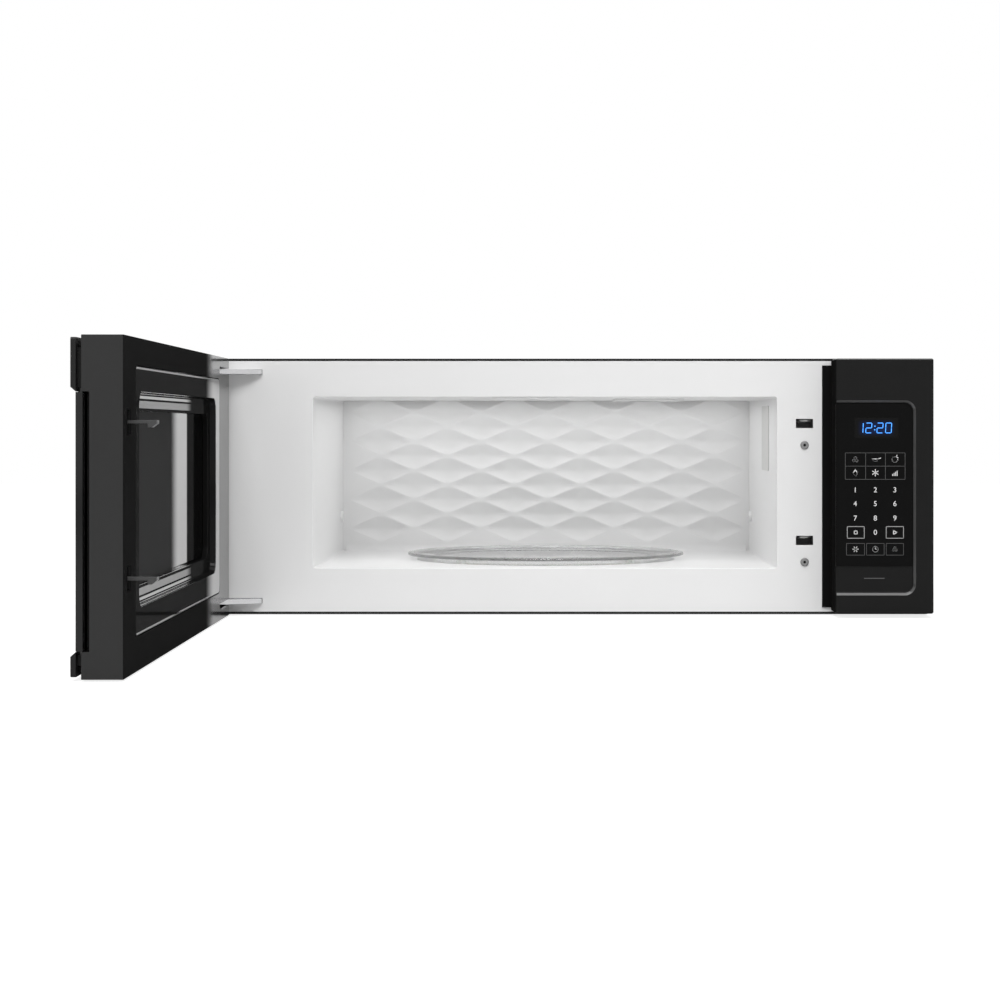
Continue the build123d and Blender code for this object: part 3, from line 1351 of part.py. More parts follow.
# The two windings round the core's middle leg.
with BuildPart() as transformer_windings:
    coil_z = (base_top + core_leg, base_top + core_height - core_leg)
    coil_split = coil_z[0] + first_coil_height
    for low, high in ((coil_z[0], coil_split), (coil_split + coil_gap, coil_z[1])):
        block((core_x[0] + core_leg, core_x[1] - core_leg),
              (core_y[0] - coil_overhang, core_y[1] + coil_overhang), (low, high))
        block((core_mid - core_leg, core_mid + core_leg), (core_y[0], core_y[1]), (low - 1, high + 1),
              Mode.SUBTRACT)
save(transformer_windings, "transformer_windings")

can_length = 84.0
can_width = 50.0
can_height = 34.0
can_from_side = 59.0
can_from_face = 36.0
can_post_radius = 4.0
can_post_height = 8.0
can_post_spacing = 30.0

can_centre = (inner_side - can_from_side, face_y + can_from_face)

# The oval high-voltage capacitor, lying on the base panel.
with BuildPart() as capacitor:
    with BuildSketch(Plane.XY.offset(base_top)):
        with Locations(can_centre):
            SlotOverall(can_length, can_width)
    extrude(amount=can_height)
    for side in (-1, 1):
        rod((can_centre[0] + side * can_post_spacing / 2, can_centre[1],
             base_top + can_height + can_post_height / 2), can_post_radius, can_post_height, "Z")
save(capacitor, "capacitor")

diode_length = 22.0
diode_radius = 3.5
lead_radius = 1.2
lead_length = 3.0
lead_tab_width = 4.0
lead_tab_thickness = 1.5
lead_tab_rise = 3.0

# The high-voltage diode between the capacitor's post and the base.
with BuildPart() as high_voltage_diode:
    diode_x = can_centre[0] + can_post_spacing / 2
    diode_start = can_centre[1] + can_post_radius
    diode_end = diode_start + diode_length
    diode_z = base_top + can_height + can_post_height / 2
    rod((diode_x, (diode_start + diode_end) / 2, diode_z), diode_radius, diode_length, "Y")
    rod((diode_x, diode_end + lead_length / 2, diode_z), lead_radius, lead_length + lead_tab_thickness, "Y")
    block((diode_x - lead_tab_width / 2, diode_x + lead_tab_width / 2),
          (diode_end + lead_length, diode_end + lead_length + lead_tab_thickness),
          (base_top, diode_z + lead_tab_rise))
save(high_voltage_diode, "high_voltage_diode")

fan_from_rear = 97.5
fan_z = 0.0
fan_radius = 56.0
fan_ring_gap = 4.0
fan_hub = 16.0
fan_shaft = 2.5
fan_depth = 22.0
fan_end_gap = 1.0
fan_blades = 5
fan_blade_thickness = 1.6
fan_blade_width = 30.0
fan_blade_pitch = 28.0
fan_motor_radius = 22.0
fan_motor_length = 30.0
fan_boss_radius = 24.0
fan_arm_width = 6.0
fan_arm_angles = (45, 135, 225, 315)

fan_plate_y = rear_panel_front - fan_from_rear
fan_x = (cavity_right + inner_side) / 2

# The bulkhead that carries the cooling fan, from the base to the top of the casing.
with BuildPart() as cooling_fan_frame:
    block((cavity_right + 2 * sheet, inner_side), (fan_plate_y, fan_plate_y + sheet), (base_top, inner_top))
    rod((fan_x, fan_plate_y, fan_z), fan_radius + fan_ring_gap, 4 * sheet, "Y", Mode.SUBTRACT)
    for angle in fan_arm_angles:
        with Locations(Location((fan_x, fan_plate_y + sheet / 2, fan_z), (0, angle, 0))):
            with Locations(((fan_radius + 2 * fan_ring_gap + fan_hub) / 2, 0, 0)):
                Box(fan_radius + 2 * fan_ring_gap - fan_hub, sheet, fan_arm_width)
    rod((fan_x, fan_plate_y + sheet / 2, fan_z), fan_boss_radius, sheet, "Y")
    rod((fan_x, fan_plate_y, fan_z), fan_shaft, 4 * sheet, "Y", Mode.SUBTRACT)
save(cooling_fan_frame, "cooling_fan_frame")

# The cooling fan's shaded-pole motor, behind the bulkhead, with its shaft through it.
with BuildPart() as cooling_fan_motor:
    rod((fan_x, fan_plate_y + sheet + fan_motor_length / 2, fan_z), fan_motor_radius,
        fan_motor_length, "Y")
    rod((fan_x, fan_plate_y + (sheet - fan_depth) / 2, fan_z), fan_shaft, fan_depth + sheet, "Y")
save(cooling_fan_motor, "cooling_fan_motor")

# The plastic propeller that blows forward over the magnetron.
with BuildPart() as cooling_fan_blades:
    hub_y = fan_plate_y - touch_gap - fan_end_gap - fan_depth / 2
    rod((fan_x, hub_y, fan_z), fan_hub, fan_depth - 2 * fan_end_gap, "Y")
    for blade in range(fan_blades):
        with Locations(Location((fan_x, hub_y, fan_z), (0, blade * 360 / fan_blades, 0))):
            with Locations(Location(((fan_hub + fan_radius) / 2, 0, 0), (fan_blade_pitch, 0, 0))):
                Box(fan_radius - fan_hub + fan_end_gap, fan_blade_thickness, fan_blade_width)
    rod((fan_x, hub_y, fan_z), fan_shaft + pin_clearance, 2 * fan_depth, "Y", Mode.SUBTRACT)
save(cooling_fan_blades, "cooling_fan_blades")

filter_board_width = 95.0
filter_board_height = 90.0
filter_board_from_side = 34.0
filter_board_from_top = 69.0
filter_board_stand = 19.5
filter_post_inset = 6.0
filter_post_radius = 3.0
choke_coil_radius = 13.0
choke_coil_length = 18.0
choke_coil_from_left = 25.0
choke_coil_rise = 60.0

# Each box on the filter board: left, bottom, width, height and depth, from its lower left corner.
filter_board_parts = ((55.0, 45.0, 30.0, 30.0, 16.0), (12.0, 10.0, 38.0, 12.0, 10.0))

filter_board_right = inner_side - filter_board_from_side
filter_board_top = inner_top - filter_board_from_top
filter_board_x = (filter_board_right - filter_board_width, filter_board_right)
filter_board_z = (filter_board_top - filter_board_height, filter_board_top)
filter_board_y = rear_panel_front - filter_board_stand

# The mains filter board on posts from the rear panel, below the cord's inlet.
with BuildPart() as mains_filter_board:
    block(filter_board_x, (filter_board_y - board_thickness, filter_board_y), filter_board_z)
    for post_x in (filter_board_x[0] + filter_post_inset, filter_board_x[1] - filter_post_inset):
        for post_z in (filter_board_z[0] + filter_post_inset, filter_board_z[1] - filter_post_inset):
            rod((post_x, (filter_board_y + rear_panel_front) / 2, post_z), filter_post_radius,
                filter_board_stand, "Y")
    filter_face = filter_board_y - board_thickness
    rod((filter_board_x[0] + choke_coil_from_left, filter_face - choke_coil_length / 2,
         filter_board_z[0] + choke_coil_rise), choke_coil_radius, choke_coil_length, "Y")
    for left, low, wide, tall, deep in filter_board_parts:
        block((filter_board_x[0] + left, filter_board_x[0] + left + wide), (filter_face - deep, filter_face),
              (filter_board_z[0] + low, filter_board_z[0] + low + tall))
save(mains_filter_board, "mains_filter_board")

gland_lip = 3.0
gland_lip_height = 3.0
gland_foot_height = 4.0
cord_bore_radius = 4.5

# The rubber bush in the top where a mains cord comes out.
with BuildPart() as cord_inlet:
    rod((gland_x, gland_y, half_height + gland_lip_height / 2), gland_radius + gland_lip,
        gland_lip_height, "Z")
    rod((gland_x, gland_y, half_height - sheet / 2), gland_radius, sheet, "Z")
    rod((gland_x, gland_y, inner_top - gland_foot_height / 2), gland_radius + gland_lip,
        gland_foot_height, "Z")
    rod((gland_x, gland_y, half_height), cord_bore_radius,
        4 * (gland_lip_height + gland_foot_height), "Z", Mode.SUBTRACT)
save(cord_inlet, "cord_inlet")
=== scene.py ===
import json
import math

import bmesh
import bpy
from mathutils import Matrix, Vector

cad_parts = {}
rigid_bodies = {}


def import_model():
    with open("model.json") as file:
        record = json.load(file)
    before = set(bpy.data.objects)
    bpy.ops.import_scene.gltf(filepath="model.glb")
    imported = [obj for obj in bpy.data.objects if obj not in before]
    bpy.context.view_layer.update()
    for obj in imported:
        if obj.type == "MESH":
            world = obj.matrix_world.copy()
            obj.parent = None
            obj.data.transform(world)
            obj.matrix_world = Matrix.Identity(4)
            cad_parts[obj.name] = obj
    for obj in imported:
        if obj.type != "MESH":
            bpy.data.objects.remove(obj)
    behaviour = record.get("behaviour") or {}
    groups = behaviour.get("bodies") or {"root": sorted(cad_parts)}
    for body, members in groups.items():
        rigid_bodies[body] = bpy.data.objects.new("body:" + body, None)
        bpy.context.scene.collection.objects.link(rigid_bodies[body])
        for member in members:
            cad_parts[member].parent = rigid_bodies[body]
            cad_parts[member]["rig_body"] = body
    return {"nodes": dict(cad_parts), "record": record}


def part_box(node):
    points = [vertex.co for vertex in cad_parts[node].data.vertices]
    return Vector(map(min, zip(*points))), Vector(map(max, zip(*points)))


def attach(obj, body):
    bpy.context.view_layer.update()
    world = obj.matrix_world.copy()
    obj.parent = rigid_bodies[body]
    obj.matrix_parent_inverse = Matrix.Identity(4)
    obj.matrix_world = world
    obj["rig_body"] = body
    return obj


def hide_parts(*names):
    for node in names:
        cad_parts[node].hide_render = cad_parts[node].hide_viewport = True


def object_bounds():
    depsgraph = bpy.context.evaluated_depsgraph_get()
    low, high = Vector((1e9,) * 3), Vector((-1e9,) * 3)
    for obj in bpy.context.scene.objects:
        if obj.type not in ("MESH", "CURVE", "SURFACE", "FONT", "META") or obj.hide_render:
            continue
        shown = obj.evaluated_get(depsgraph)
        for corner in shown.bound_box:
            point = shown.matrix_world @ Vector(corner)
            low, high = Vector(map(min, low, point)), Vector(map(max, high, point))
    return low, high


# A low, wide microwave that hangs over a kitchen range, with its door open. Metres throughout.
# The sections follow the object from its casing inwards, then the door, the hood and the studio.
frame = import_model()
cad_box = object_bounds()
bpy.ops.object.select_all(action="DESELECT")

# -------- casing
# The outer wrap is one folded sheet of 1 mm steel with a hemmed front edge, and the base panel
# closes it from below. Both are baked with a semi-gloss black enamel.
mm = 0.001
nodes = frame["nodes"]


class Signal:
    """One socket of a shader. Arithmetic on it adds Math nodes, and node() adds any other node."""

    def __init__(self, tree, socket=None):
        self.tree = tree
        self.socket = socket

    def node(self, kind, settings=None, inputs=None, output=0):
        """Adds a node, its settings first and then the values or links of its sockets."""
        made = self.tree.nodes.new(kind)
        for key, value in (settings or {}).items():
            if key == "stops":
                for element, (place_on_ramp, colour) in zip(made.color_ramp.elements, value):
                    element.position = place_on_ramp
                    element.color = (*colour, 1)
            else:
                setattr(made, key, value)
        self.feed(made, inputs or {})
        return Signal(self.tree, made.outputs[output])

    def feed(self, made, inputs):
        """Sets or links a node's sockets."""
        for key, value in inputs.items():
            if isinstance(value, Signal):
                self.tree.links.new(value.socket, made.inputs[key])
            else:
                made.inputs[key].default_value = value

    def maths(self, operation, first, second=0.0):
        return self.node("ShaderNodeMath", {"operation": operation}, {0: first, 1: second})

    def __add__(self, other):
        return self.maths("ADD", self, other)

    __radd__ = __add__

    def __sub__(self, other):
        return self.maths("SUBTRACT", self, other)

    def __rsub__(self, other):
        return self.maths("SUBTRACT", other, self)

    def __mul__(self, other):
        return self.maths("MULTIPLY", self, other)

    __rmul__ = __mul__

    def axis(self, index):
        """One coordinate of a vector."""
        return self.node("ShaderNodeSeparateXYZ", inputs={0: self}, output=index)

    def step(self, start, end):
        """0 before start, 1 after end, and smooth between them. Start may be the larger."""
        return self.node("ShaderNodeMapRange", {"interpolation_type": "SMOOTHSTEP"},
                         {0: self, 1: start, 2: end, 3: 0.0, 4: 1.0})

    def band(self, low, high, fade):
        """1 between low and high, and 0 outside them, past a soft edge."""
        return self.step(low - fade, low) * self.step(high + fade, high)

    def distance_along(self, direction, origin):
        """How far a place lies from the origin along a direction."""
        offset = self.node("ShaderNodeVectorMath", {"operation": "SUBTRACT"}, {0: self, 1: origin})
        return offset.node("ShaderNodeVectorMath", {"operation": "DOT_PRODUCT"},
                           {0: offset, 1: direction}, output=1)

    def stretch(self, x, y, z):
        """The coordinates scaled along each axis, to draw a pattern out."""
        return self.node("ShaderNodeVectorMath", {"operation": "MULTIPLY"},
                         {0: self, 1: (x, y, z)})

    def noise(self, scale, detail=2.0):
        return self.node("ShaderNodeTexNoise", None,
                         {"Vector": self, "Scale": scale, "Detail": detail})

    def cells(self, scale, feature="F1"):
        return self.node("ShaderNodeTexVoronoi", {"feature": feature},
                         {"Vector": self, "Scale": scale})

    def blend(self, mask, first, second):
        """The first colour where the mask is 0 and the second where it is 1."""
        return self.node("ShaderNodeMix", {"data_type": "RGBA"},
                         {0: mask, 6: first, 7: second}, output=2)

    def relief(self, height, depth):
        """A surface normal from a height between 0 and 1, and what 1 stands for in metres."""
        return self.node("ShaderNodeBump", None,
                         {"Height": height, "Distance": depth, "Strength": 1.0})

    def waves(self, direction, scale, distortion=0.0):
        """Parallel bands across one direction, from 0 to 1 and back."""
        return self.node("ShaderNodeTexWave", {"bands_direction": direction},
                         {"Vector": self, "Scale": scale, "Distortion": distortion}, output=1)


def tone(colour, factor=1.0):
    """A grey or a colour times a factor, with its alpha."""
    red, green, blue = (colour,) * 3 if isinstance(colour, float) else colour
    return (red * factor, green * factor, blue * factor, 1.0)


def finish(name, draw, **fixed):
    """A material. Its fixed values sit on the shader's sockets, and draw() gives the varying ones."""
    material = bpy.data.materials.new(name)
    material.use_nodes = True
    shader = material.node_tree.nodes["Principled BSDF"]
    place = Signal(material.node_tree).node("ShaderNodeTexCoord", output="Object")
    place.feed(shader, {key.replace("_", " "): value for key, value in fixed.items()})
    place.feed(shader, draw(place))
    return material


def layered(name, under, over, share):
    """Two finishes, each as its drawing and fixed values. share() is 1 where only the upper shows."""
    material = finish(name, under[0], **under[1])
    tree = material.node_tree
    place = Signal(tree).node("ShaderNodeTexCoord", output="Object")
    upper = place.node("ShaderNodeBsdfPrincipled")
    place.feed(upper.socket.node, {key.replace("_", " "): value for key, value in over[1].items()})
    place.feed(upper.socket.node, over[0](place))
    lower = Signal(tree, tree.nodes["Principled BSDF"].outputs[0])
    mixed = place.node("ShaderNodeMixShader", inputs={0: share(place), 1: lower, 2: upper})
    place.feed(tree.nodes["Material Output"], {"Surface": mixed})
    return material


def enamel(name, colour, roughness, peel=0.012 * mm, **fixed):
    """Baked enamel: even, with a faint orange peel and the dull marks that wiping leaves."""
    def draw(place):
        marks = place.stretch(1, 1, 0.35).noise(7.0, 4.0)
        return {
            "Base Color": place.blend(marks, tone(colour, 0.97), tone(colour, 1.03)),
            "Roughness": roughness + 0.1 * (marks - 0.5),
            "Normal": place.relief(place.noise(420.0), peel),
        }
    return finish(name, draw, **fixed)


def coat(piece, material):
    """Puts one material on a piece."""
    if not piece.data.materials:
        piece.data.materials.append(material)
    for held in piece.material_slots:
        held.material = material


def activate(piece):
    """Makes one piece the only one selected and the active one."""
    bpy.ops.object.select_all(action="DESELECT")
    piece.select_set(True)
    bpy.context.view_layer.objects.active = piece


def apply_modifier(piece, kind, **settings):
    """Adds a modifier with those settings and applies it."""
    activate(piece)
    modifier = piece.modifiers.new(kind.title(), kind)
    for key, value in settings.items():
        setattr(modifier, key, value)
    bpy.ops.object.modifier_apply(modifier=modifier.name)


joining_gap = 0.002 * mm


def copied(node, name):
    """A new piece with a CAD node's own mesh, joined up and open for editing."""
    piece = bpy.data.objects.new(name, nodes[node].data.copy())
    bpy.context.scene.collection.objects.link(piece)
    activate(piece)
    bpy.ops.mesh.customdata_custom_splitnormals_clear()
    bpy.ops.object.mode_set(mode="EDIT")
    bpy.ops.mesh.select_all(action="SELECT")
    bpy.ops.mesh.remove_doubles(threshold=joining_gap)
    return piece


def stand_in(piece, node, material):
    """Coats a finished piece and puts it in a CAD node's place."""
    coat(piece, material)
    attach(piece, nodes[node]["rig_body"])
    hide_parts(node)


def softened(node, name, width, material, segments=2):
    """Stands for a CAD node: its own faces, joined up, with every sharp edge rounded over."""
    piece = copied(node, name)
    bpy.ops.mesh.dissolve_limited(angle_limit=math.radians(0.6))
    bpy.ops.object.mode_set(mode="OBJECT")
    apply_modifier(piece, "BEVEL", width=width, segments=segments, limit_method="ANGLE",
                   angle_limit=math.radians(30), use_clamp_overlap=True, loop_slide=False,
                   miter_outer="MITER_ARC")
    bpy.ops.object.shade_smooth_by_angle(angle=math.radians(28))
    apply_modifier(piece, "WEIGHTED_NORMAL", mode="FACE_AREA", weight=60, keep_sharp=True)
    stand_in(piece, node, material)


black_enamel = enamel("black_enamel", 0.012, 0.36, Specular_IOR_Level=0.24)
softened("cabinet_wrap", "casing_wrap", 0.5 * mm, black_enamel)
softened("base_panel", "casing_base", 0.3 * mm, black_enamel)


def black_oxide(place):
    blotches = place.noise(260.0, 3.0)
    return {"Base Color": place.blend(blotches, tone(0.012), tone(0.03)),
            "Roughness": 0.35 + 0.3 * blotches}


coat(nodes["base_screws"], finish("black_oxide", black_oxide, Metallic=0.8))

# -------- back of the casing
# The rear panel and the plate that is screwed to the wall are plain galvanised sheet, so their
# zinc shows its spangle: flat crystals a centimetre across, each with its own dullness.
spangle_scale = 95.0


def spangle(place):
    crystals = place.node("ShaderNodeTexVoronoi", {"feature": "F1"},
                          {"Vector": place.stretch(1, 1.7, 1), "Scale": spangle_scale}, output=1)
    dullness = crystals.axis(0)
    return {
        "Base Color": place.blend(dullness, tone((0.50, 0.51, 0.52)), tone((0.64, 0.65, 0.66))),
        "Roughness": 0.34 + 0.16 * dullness + 0.06 * place.noise(900.0),
        "Normal": place.relief(place.noise(1500.0), 0.003 * mm),
    }


galvanised = finish("galvanised_steel", spangle, Metallic=1.0)
softened("rear_panel", "back_panel", 0.2 * mm, galvanised)
softened("wall_plate", "mounting_plate", 0.25 * mm, galvanised)

# -------- faceplate
# The white front frame is 1 mm steel with gloss white enamel. Its edge round the oven opening is
# rolled inwards, and two round-head zinc screws hold the interlock behind it.
white_gloss = enamel("white_enamel", 0.80, 0.22, 0.008 * mm, Coat_Weight=0.35, Coat_Roughness=0.06)
softened("faceplate", "front_frame", 0.35 * mm, white_gloss)


def rolled_metal(name, colour, roughness, grain=(1.0, 1.0, 12.0)):
    """Bright metal with the fine lines of rolling or turning, drawn out along one axis."""
    def draw(place):
        lines = place.stretch(*grain).noise(500.0, 3.0)
        stains = place.noise(60.0, 3.0)
        return {
            "Base Color": place.blend(stains, tone(colour, 0.86), tone(colour, 1.06)),
            "Roughness": roughness + 0.22 * (lines - 0.5) + 0.1 * (stains - 0.5),
            "Normal": place.relief(lines, 0.002 * mm),
        }
    return finish(name, draw, Metallic=1.0)


screw_low, screw_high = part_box("faceplate_screws")
screw_head_radius = 4.25 * mm
screw_socket_radius = 1.7 * mm
screw_axis_x = (screw_low.x + screw_high.x) / 2


def dulled_zinc(place):
    """Chromated zinc, duller than plating, with painted shade filling the driver's socket."""
    stains = place.noise(700.0, 3.0)
    across = place.axis(0) - screw_axis_x
    up_first = place.axis(2) - (screw_high.z - screw_head_radius)
    up_second = place.axis(2) - (screw_low.z + screw_head_radius)
    nearest = place.maths("MINIMUM", up_first * up_first, up_second * up_second)
    from_axis = place.maths("SQRT", across * across + nearest)
    # Painted shade: inside the driver's socket the zinc is coloured near black, as the hole lies in
    # shade.
    socket = from_axis.step(screw_socket_radius, 0.7 * screw_socket_radius)
    unshaded_zinc = place.blend(stains, tone(0.20), tone(0.32))
    return {"Base Color": place.blend(socket, unshaded_zinc, tone(0.004)), "Roughness": 0.42 + 0.1 * stains}


softened("faceplate_screws", "front_screws", 0.18 * mm,
         finish("zinc_screw", dulled_zinc, Metallic=0.7))

# -------- oven cavity
# The liner is spot-welded steel sheet in white enamel. Its back wall is pressed with a quilt of
# diamonds that scatters the microwaves.
cavity_white = enamel("cavity_enamel", 0.82, 0.34, 0.008 * mm,
                      Coat_Weight=0.12, Coat_Roughness=0.12)
softened("cavity_shell", "oven_liner", 0.3 * mm, cavity_white)
liner_low, liner_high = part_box("cavity_shell")

# The quilt: its diamonds' full width and height, one diamond's centre and the edge under the
# ceiling, then how deep, how full, how lopsided and how square-cornered each diamond is.
quilt_pitch, quilt_rise = 77.6 * mm, 33.8 * mm
quilt_x, quilt_z = -7.5 * mm, 94.8 * mm
quilt_top = 90.7 * mm
quilt_depth = 4.4 * mm
quilt_fill = 0.96
quilt_skew = 0.6
quilt_corner = 5
# The wall's land lies on the liner's back edge, and the CAD's own diamonds go this far past it.
wall_land = liner_high.y
wall_press = 5.05 * mm
flat_slack = 0.05 * mm
# Each diamond is cut into strips along both its edges, over this many diamonds to either side.
quilt_cuts = 14
quilt_reach = 9
cutting_gap = 0.001 * mm
pressed_angle, folded_angle = math.radians(4), math.radians(50)


def dish_depth(x, z):
    """How deep a diamond is pressed at a place: steep inside its edges, most at the lower ones."""
    across, up = (x - quilt_x) / quilt_pitch, (z - quilt_z) / quilt_rise
    first, second = across + up, across - up
    first, second = first - round(first), second - round(second)
    out = ((abs(first) ** quilt_corner + abs(second) ** quilt_corner) ** (1 / quilt_corner)
           / (0.5 * quilt_fill))
    inward = max(0.0, 1 - out)
    return quilt_depth * inward * (2 - inward) * (1 - quilt_skew * (first - second))


def quilted(node, name, material):
    """Stands for the pressed wall: soft inside each diamond, and crisp where it meets the land."""
    piece = copied(node, name)
    mesh = bmesh.from_edit_mesh(piece.data)
    dished = mesh.faces.layers.int.new("dished")
    # The CAD's diamonds come out, and one flat face that can be cut up takes their place.
    bmesh.ops.bisect_plane(mesh, geom=mesh.faces[:] + mesh.edges[:] + mesh.verts[:],
                           dist=cutting_gap, plane_co=(0, 0, quilt_top), plane_no=(0, 0, 1))
    hollow = [face for face in mesh.faces
              if face.normal.y < -0.5 and face.calc_center_median().z < quilt_top
              and wall_land + flat_slack < face.calc_center_median().y < wall_land + wall_press]
    for vert in {vert for face in hollow for vert in face.verts}:
        vert.co.y = wall_land
    bmesh.ops.delete(mesh, geom=hollow, context="FACES")
    open_edges = [edge for edge in mesh.edges if edge.is_boundary]
    for face in bmesh.ops.holes_fill(mesh, edges=open_edges, sides=0)["faces"]:
        face.normal_update()
        if face.normal.y > 0:
            face.normal_flip()
        face[dished] = 1
    # Cuts along the diamonds' two directions make the grid that is then pressed in.
    for side in (1, -1):
        for cut in range(-quilt_reach * quilt_cuts, quilt_reach * quilt_cuts):
            faces = [face for face in mesh.faces if face[dished]]
            parts = dict.fromkeys(part for face in faces for part in (*face.edges, *face.verts))
            bmesh.ops.bisect_plane(
                mesh, geom=faces + list(parts), dist=cutting_gap,
                plane_co=(quilt_x + cut / quilt_cuts * quilt_pitch, 0, quilt_z),
                plane_no=(1 / quilt_pitch, 0, side / quilt_rise))
    for vert in {vert for face in mesh.faces if face[dished] for vert in face.verts}:
        vert.co.y = wall_land + dish_depth(vert.co.x, vert.co.z)
    land = [face for face in mesh.faces if not face[dished] and len(face.verts) > 3]
    bmesh.ops.triangulate(mesh, faces=land, quad_method="BEAUTY", ngon_method="BEAUTY")
    mesh.normal_update()
    for face in mesh.faces:
        face.smooth = True
    for edge in mesh.edges:
        rim = len({face[dished] for face in edge.link_faces}) > 1
        fold = edge.calc_face_angle(0.0)
        edge.smooth = not (rim and fold > pressed_angle or fold > folded_angle)
    bmesh.update_edit_mesh(piece.data)
    bpy.ops.object.mode_set(mode="OBJECT")
    stand_in(piece, node, material)


quilted("cavity_rear_wall", "quilted_wall", cavity_white)


def mica_sheet(place):
    flakes = place.stretch(1, 1, 2.2).noise(34.0, 6.0)
    return {
        "Base Color": place.blend(flakes, tone((0.57, 0.57, 0.56)), tone((0.66, 0.66, 0.65))),
        "Roughness": 0.5 + 0.2 * flakes,
        "Normal": place.relief(place.stretch(1, 1, 2.2).noise(160.0, 5.0), 0.02 * mm),
    }


softened("waveguide_cover", "mica_cover", 0.2 * mm, finish("mica", mica_sheet))


def moulding(name, colour, roughness, grain_depth=0.006 * mm, **fixed):
    """A satin moulding: fine spark-eroded grain, and a slow drift in how dull it is."""
    def draw(place):
        drift = place.noise(16.0, 3.0)
        return {
            "Base Color": place.blend(drift, tone(colour, 0.94), tone(colour, 1.06)),
            "Roughness": roughness + 0.1 * (drift - 0.5),
            "Normal": place.relief(place.noise(2600.0, 1.0), grain_depth),
        }
    return finish(name, draw, **fixed)


# Two shallow white mouldings clip under the ceiling, over the lamp and over the vent.
white_moulding = moulding("white_moulding", 0.78, 0.42)
softened("cavity_lamp_cover", "oven_lamp_cover", 0.3 * mm, white_moulding)
softened("cavity_vent_cover", "oven_vent_cover", 0.3 * mm, white_moulding)
lamp_holder = moulding("lamp_holder", (0.66, 0.66, 0.62), 0.5)
coat(nodes["cavity_lamp"], lamp_holder)

# -------- turntable
# The tray is pressed clear glass, 300 mm across: a flat dish with a raised, rounded rim and a
# bead near its edge. It is spun from one outline, and lies on the rollers' ring and the coupler.
tray_low, tray_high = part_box("glass_tray")
tray_centre = (tray_low + tray_high) / 2
tray_radius = (tray_high.x - tray_low.x) / 2
tray_lug_drop = 4.0 * mm
tray_under = tray_low.z + tray_lug_drop
tray_glass = 4.5 * mm
tray_flat_radius = 118 * mm
tray_steps = 144
rim_round = 1.2 * mm


def spun(name, outline, centre, steps):
    """A closed ring of faces: an outline of (radius, height) points, spun round an upright axis."""
    bpy.ops.mesh.primitive_plane_add(size=1 * mm, location=(0, 0, 0))
    piece = bpy.context.object
    piece.name = name
    bpy.ops.object.mode_set(mode="EDIT")
    mesh = bmesh.from_edit_mesh(piece.data)
    bmesh.ops.delete(mesh, geom=mesh.verts[:], context="VERTS")
    corners = [mesh.verts.new((centre.x + radius, centre.y, height)) for radius, height in outline]
    for first, second in zip(corners, corners[1:] + corners[:1]):
        mesh.edges.new((first, second))
    bmesh.update_edit_mesh(piece.data)
    bpy.ops.mesh.select_all(action="SELECT")
    bpy.ops.mesh.spin(steps=steps, angle=math.tau, center=centre, axis=(0, 0, 1))
    bpy.ops.mesh.select_all(action="SELECT")
    bpy.ops.mesh.remove_doubles(threshold=0.003 * mm)
    bpy.ops.mesh.normals_make_consistent(inside=False)
    bpy.ops.object.mode_set(mode="OBJECT")
    bpy.ops.object.shade_smooth_by_angle(angle=math.radians(32))
    return piece


def arc(centre, radius, start, end, count):
    """Points on an arc round a point of a plane, angles in degrees."""
    angles = [math.radians(start + (end - start) * k / count) for k in range(count + 1)]
    return [(centre[0] + radius * math.cos(a), centre[1] + radius * math.sin(a)) for a in angles]


rim_top = tray_high.z
tray_outline = [
    (0, tray_under),
    (tray_flat_radius, tray_under),
    *arc((tray_flat_radius, tray_under + tray_glass * 2), tray_glass * 2, -84, -76, 2),
    *arc((tray_radius - rim_round * 1.5, rim_top - rim_round * 1.5), rim_round * 1.5, -38, 90, 8),
    *arc((tray_radius - 4.6 * mm, rim_top - rim_round), rim_round, 90, 128, 4),
    (tray_flat_radius + 5 * mm, tray_under + tray_glass + 0.9 * mm),
    *arc((tray_flat_radius + 1.5 * mm, tray_under + tray_glass + 1.0 * mm), 1.0 * mm, -60, -90, 3),
    (0, tray_under + tray_glass),
]
glass_tray = spun("glass_plate", tray_outline, tray_centre, tray_steps)

# Three lugs under its middle sit between the coupler's arms and turn the tray.
lug_radius = 17 * mm
lug_length, lug_width = 7 * mm, 9 * mm
lug_sunk = 1 * mm
for degrees in (150, 270, 390):
    angle = math.radians(degrees)
    bpy.ops.mesh.primitive_cube_add(size=1, location=(
        tray_centre.x + lug_radius * math.cos(angle), tray_centre.y + lug_radius * math.sin(angle),
        tray_low.z + tray_lug_drop / 2 + lug_sunk / 2), rotation=(0, 0, angle))
    lug = bpy.context.object
    lug.scale = (lug_length, lug_width, tray_lug_drop + lug_sunk)
    bpy.ops.object.transform_apply()
    apply_modifier(lug, "BEVEL", width=1.2 * mm, segments=3)
    activate(glass_tray)
    lug.select_set(True)
    bpy.ops.object.join()


def pressed_glass(place):
    swirls = place.stretch(1, 1, 0.2).noise(26.0, 2.0)
    return {"Roughness": 0.015 + 0.03 * place.noise(40.0, 3.0),
            "Normal": place.relief(swirls, 0.12 * mm)}


coat(glass_tray, finish("pressed_glass", pressed_glass, Base_Color=(0.985, 0.992, 0.99, 1),
                        Transmission_Weight=1.0, IOR=1.5, Alpha=0.9))
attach(glass_tray, "turntable")
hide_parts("glass_tray")

# The ring, its three rollers and the coupler are natural nylon mouldings.
nylon = moulding("nylon", (0.70, 0.70, 0.66), 0.38, Subsurface_Weight=0.1)
for node, name in (("turntable_coupler", "tray_coupler"), ("roller_ring", "roller_carrier"),
                   ("roller_1", "roller_back"), ("roller_2", "roller_left"),
                   ("roller_3", "roller_right")):
    softened(node, name, 0.25 * mm, nylon)
plated = rolled_metal("plated_steel", (0.66, 0.66, 0.67), 0.22, (1.0, 9.0, 1.0))
coat(nodes["turntable_motor"], plated)

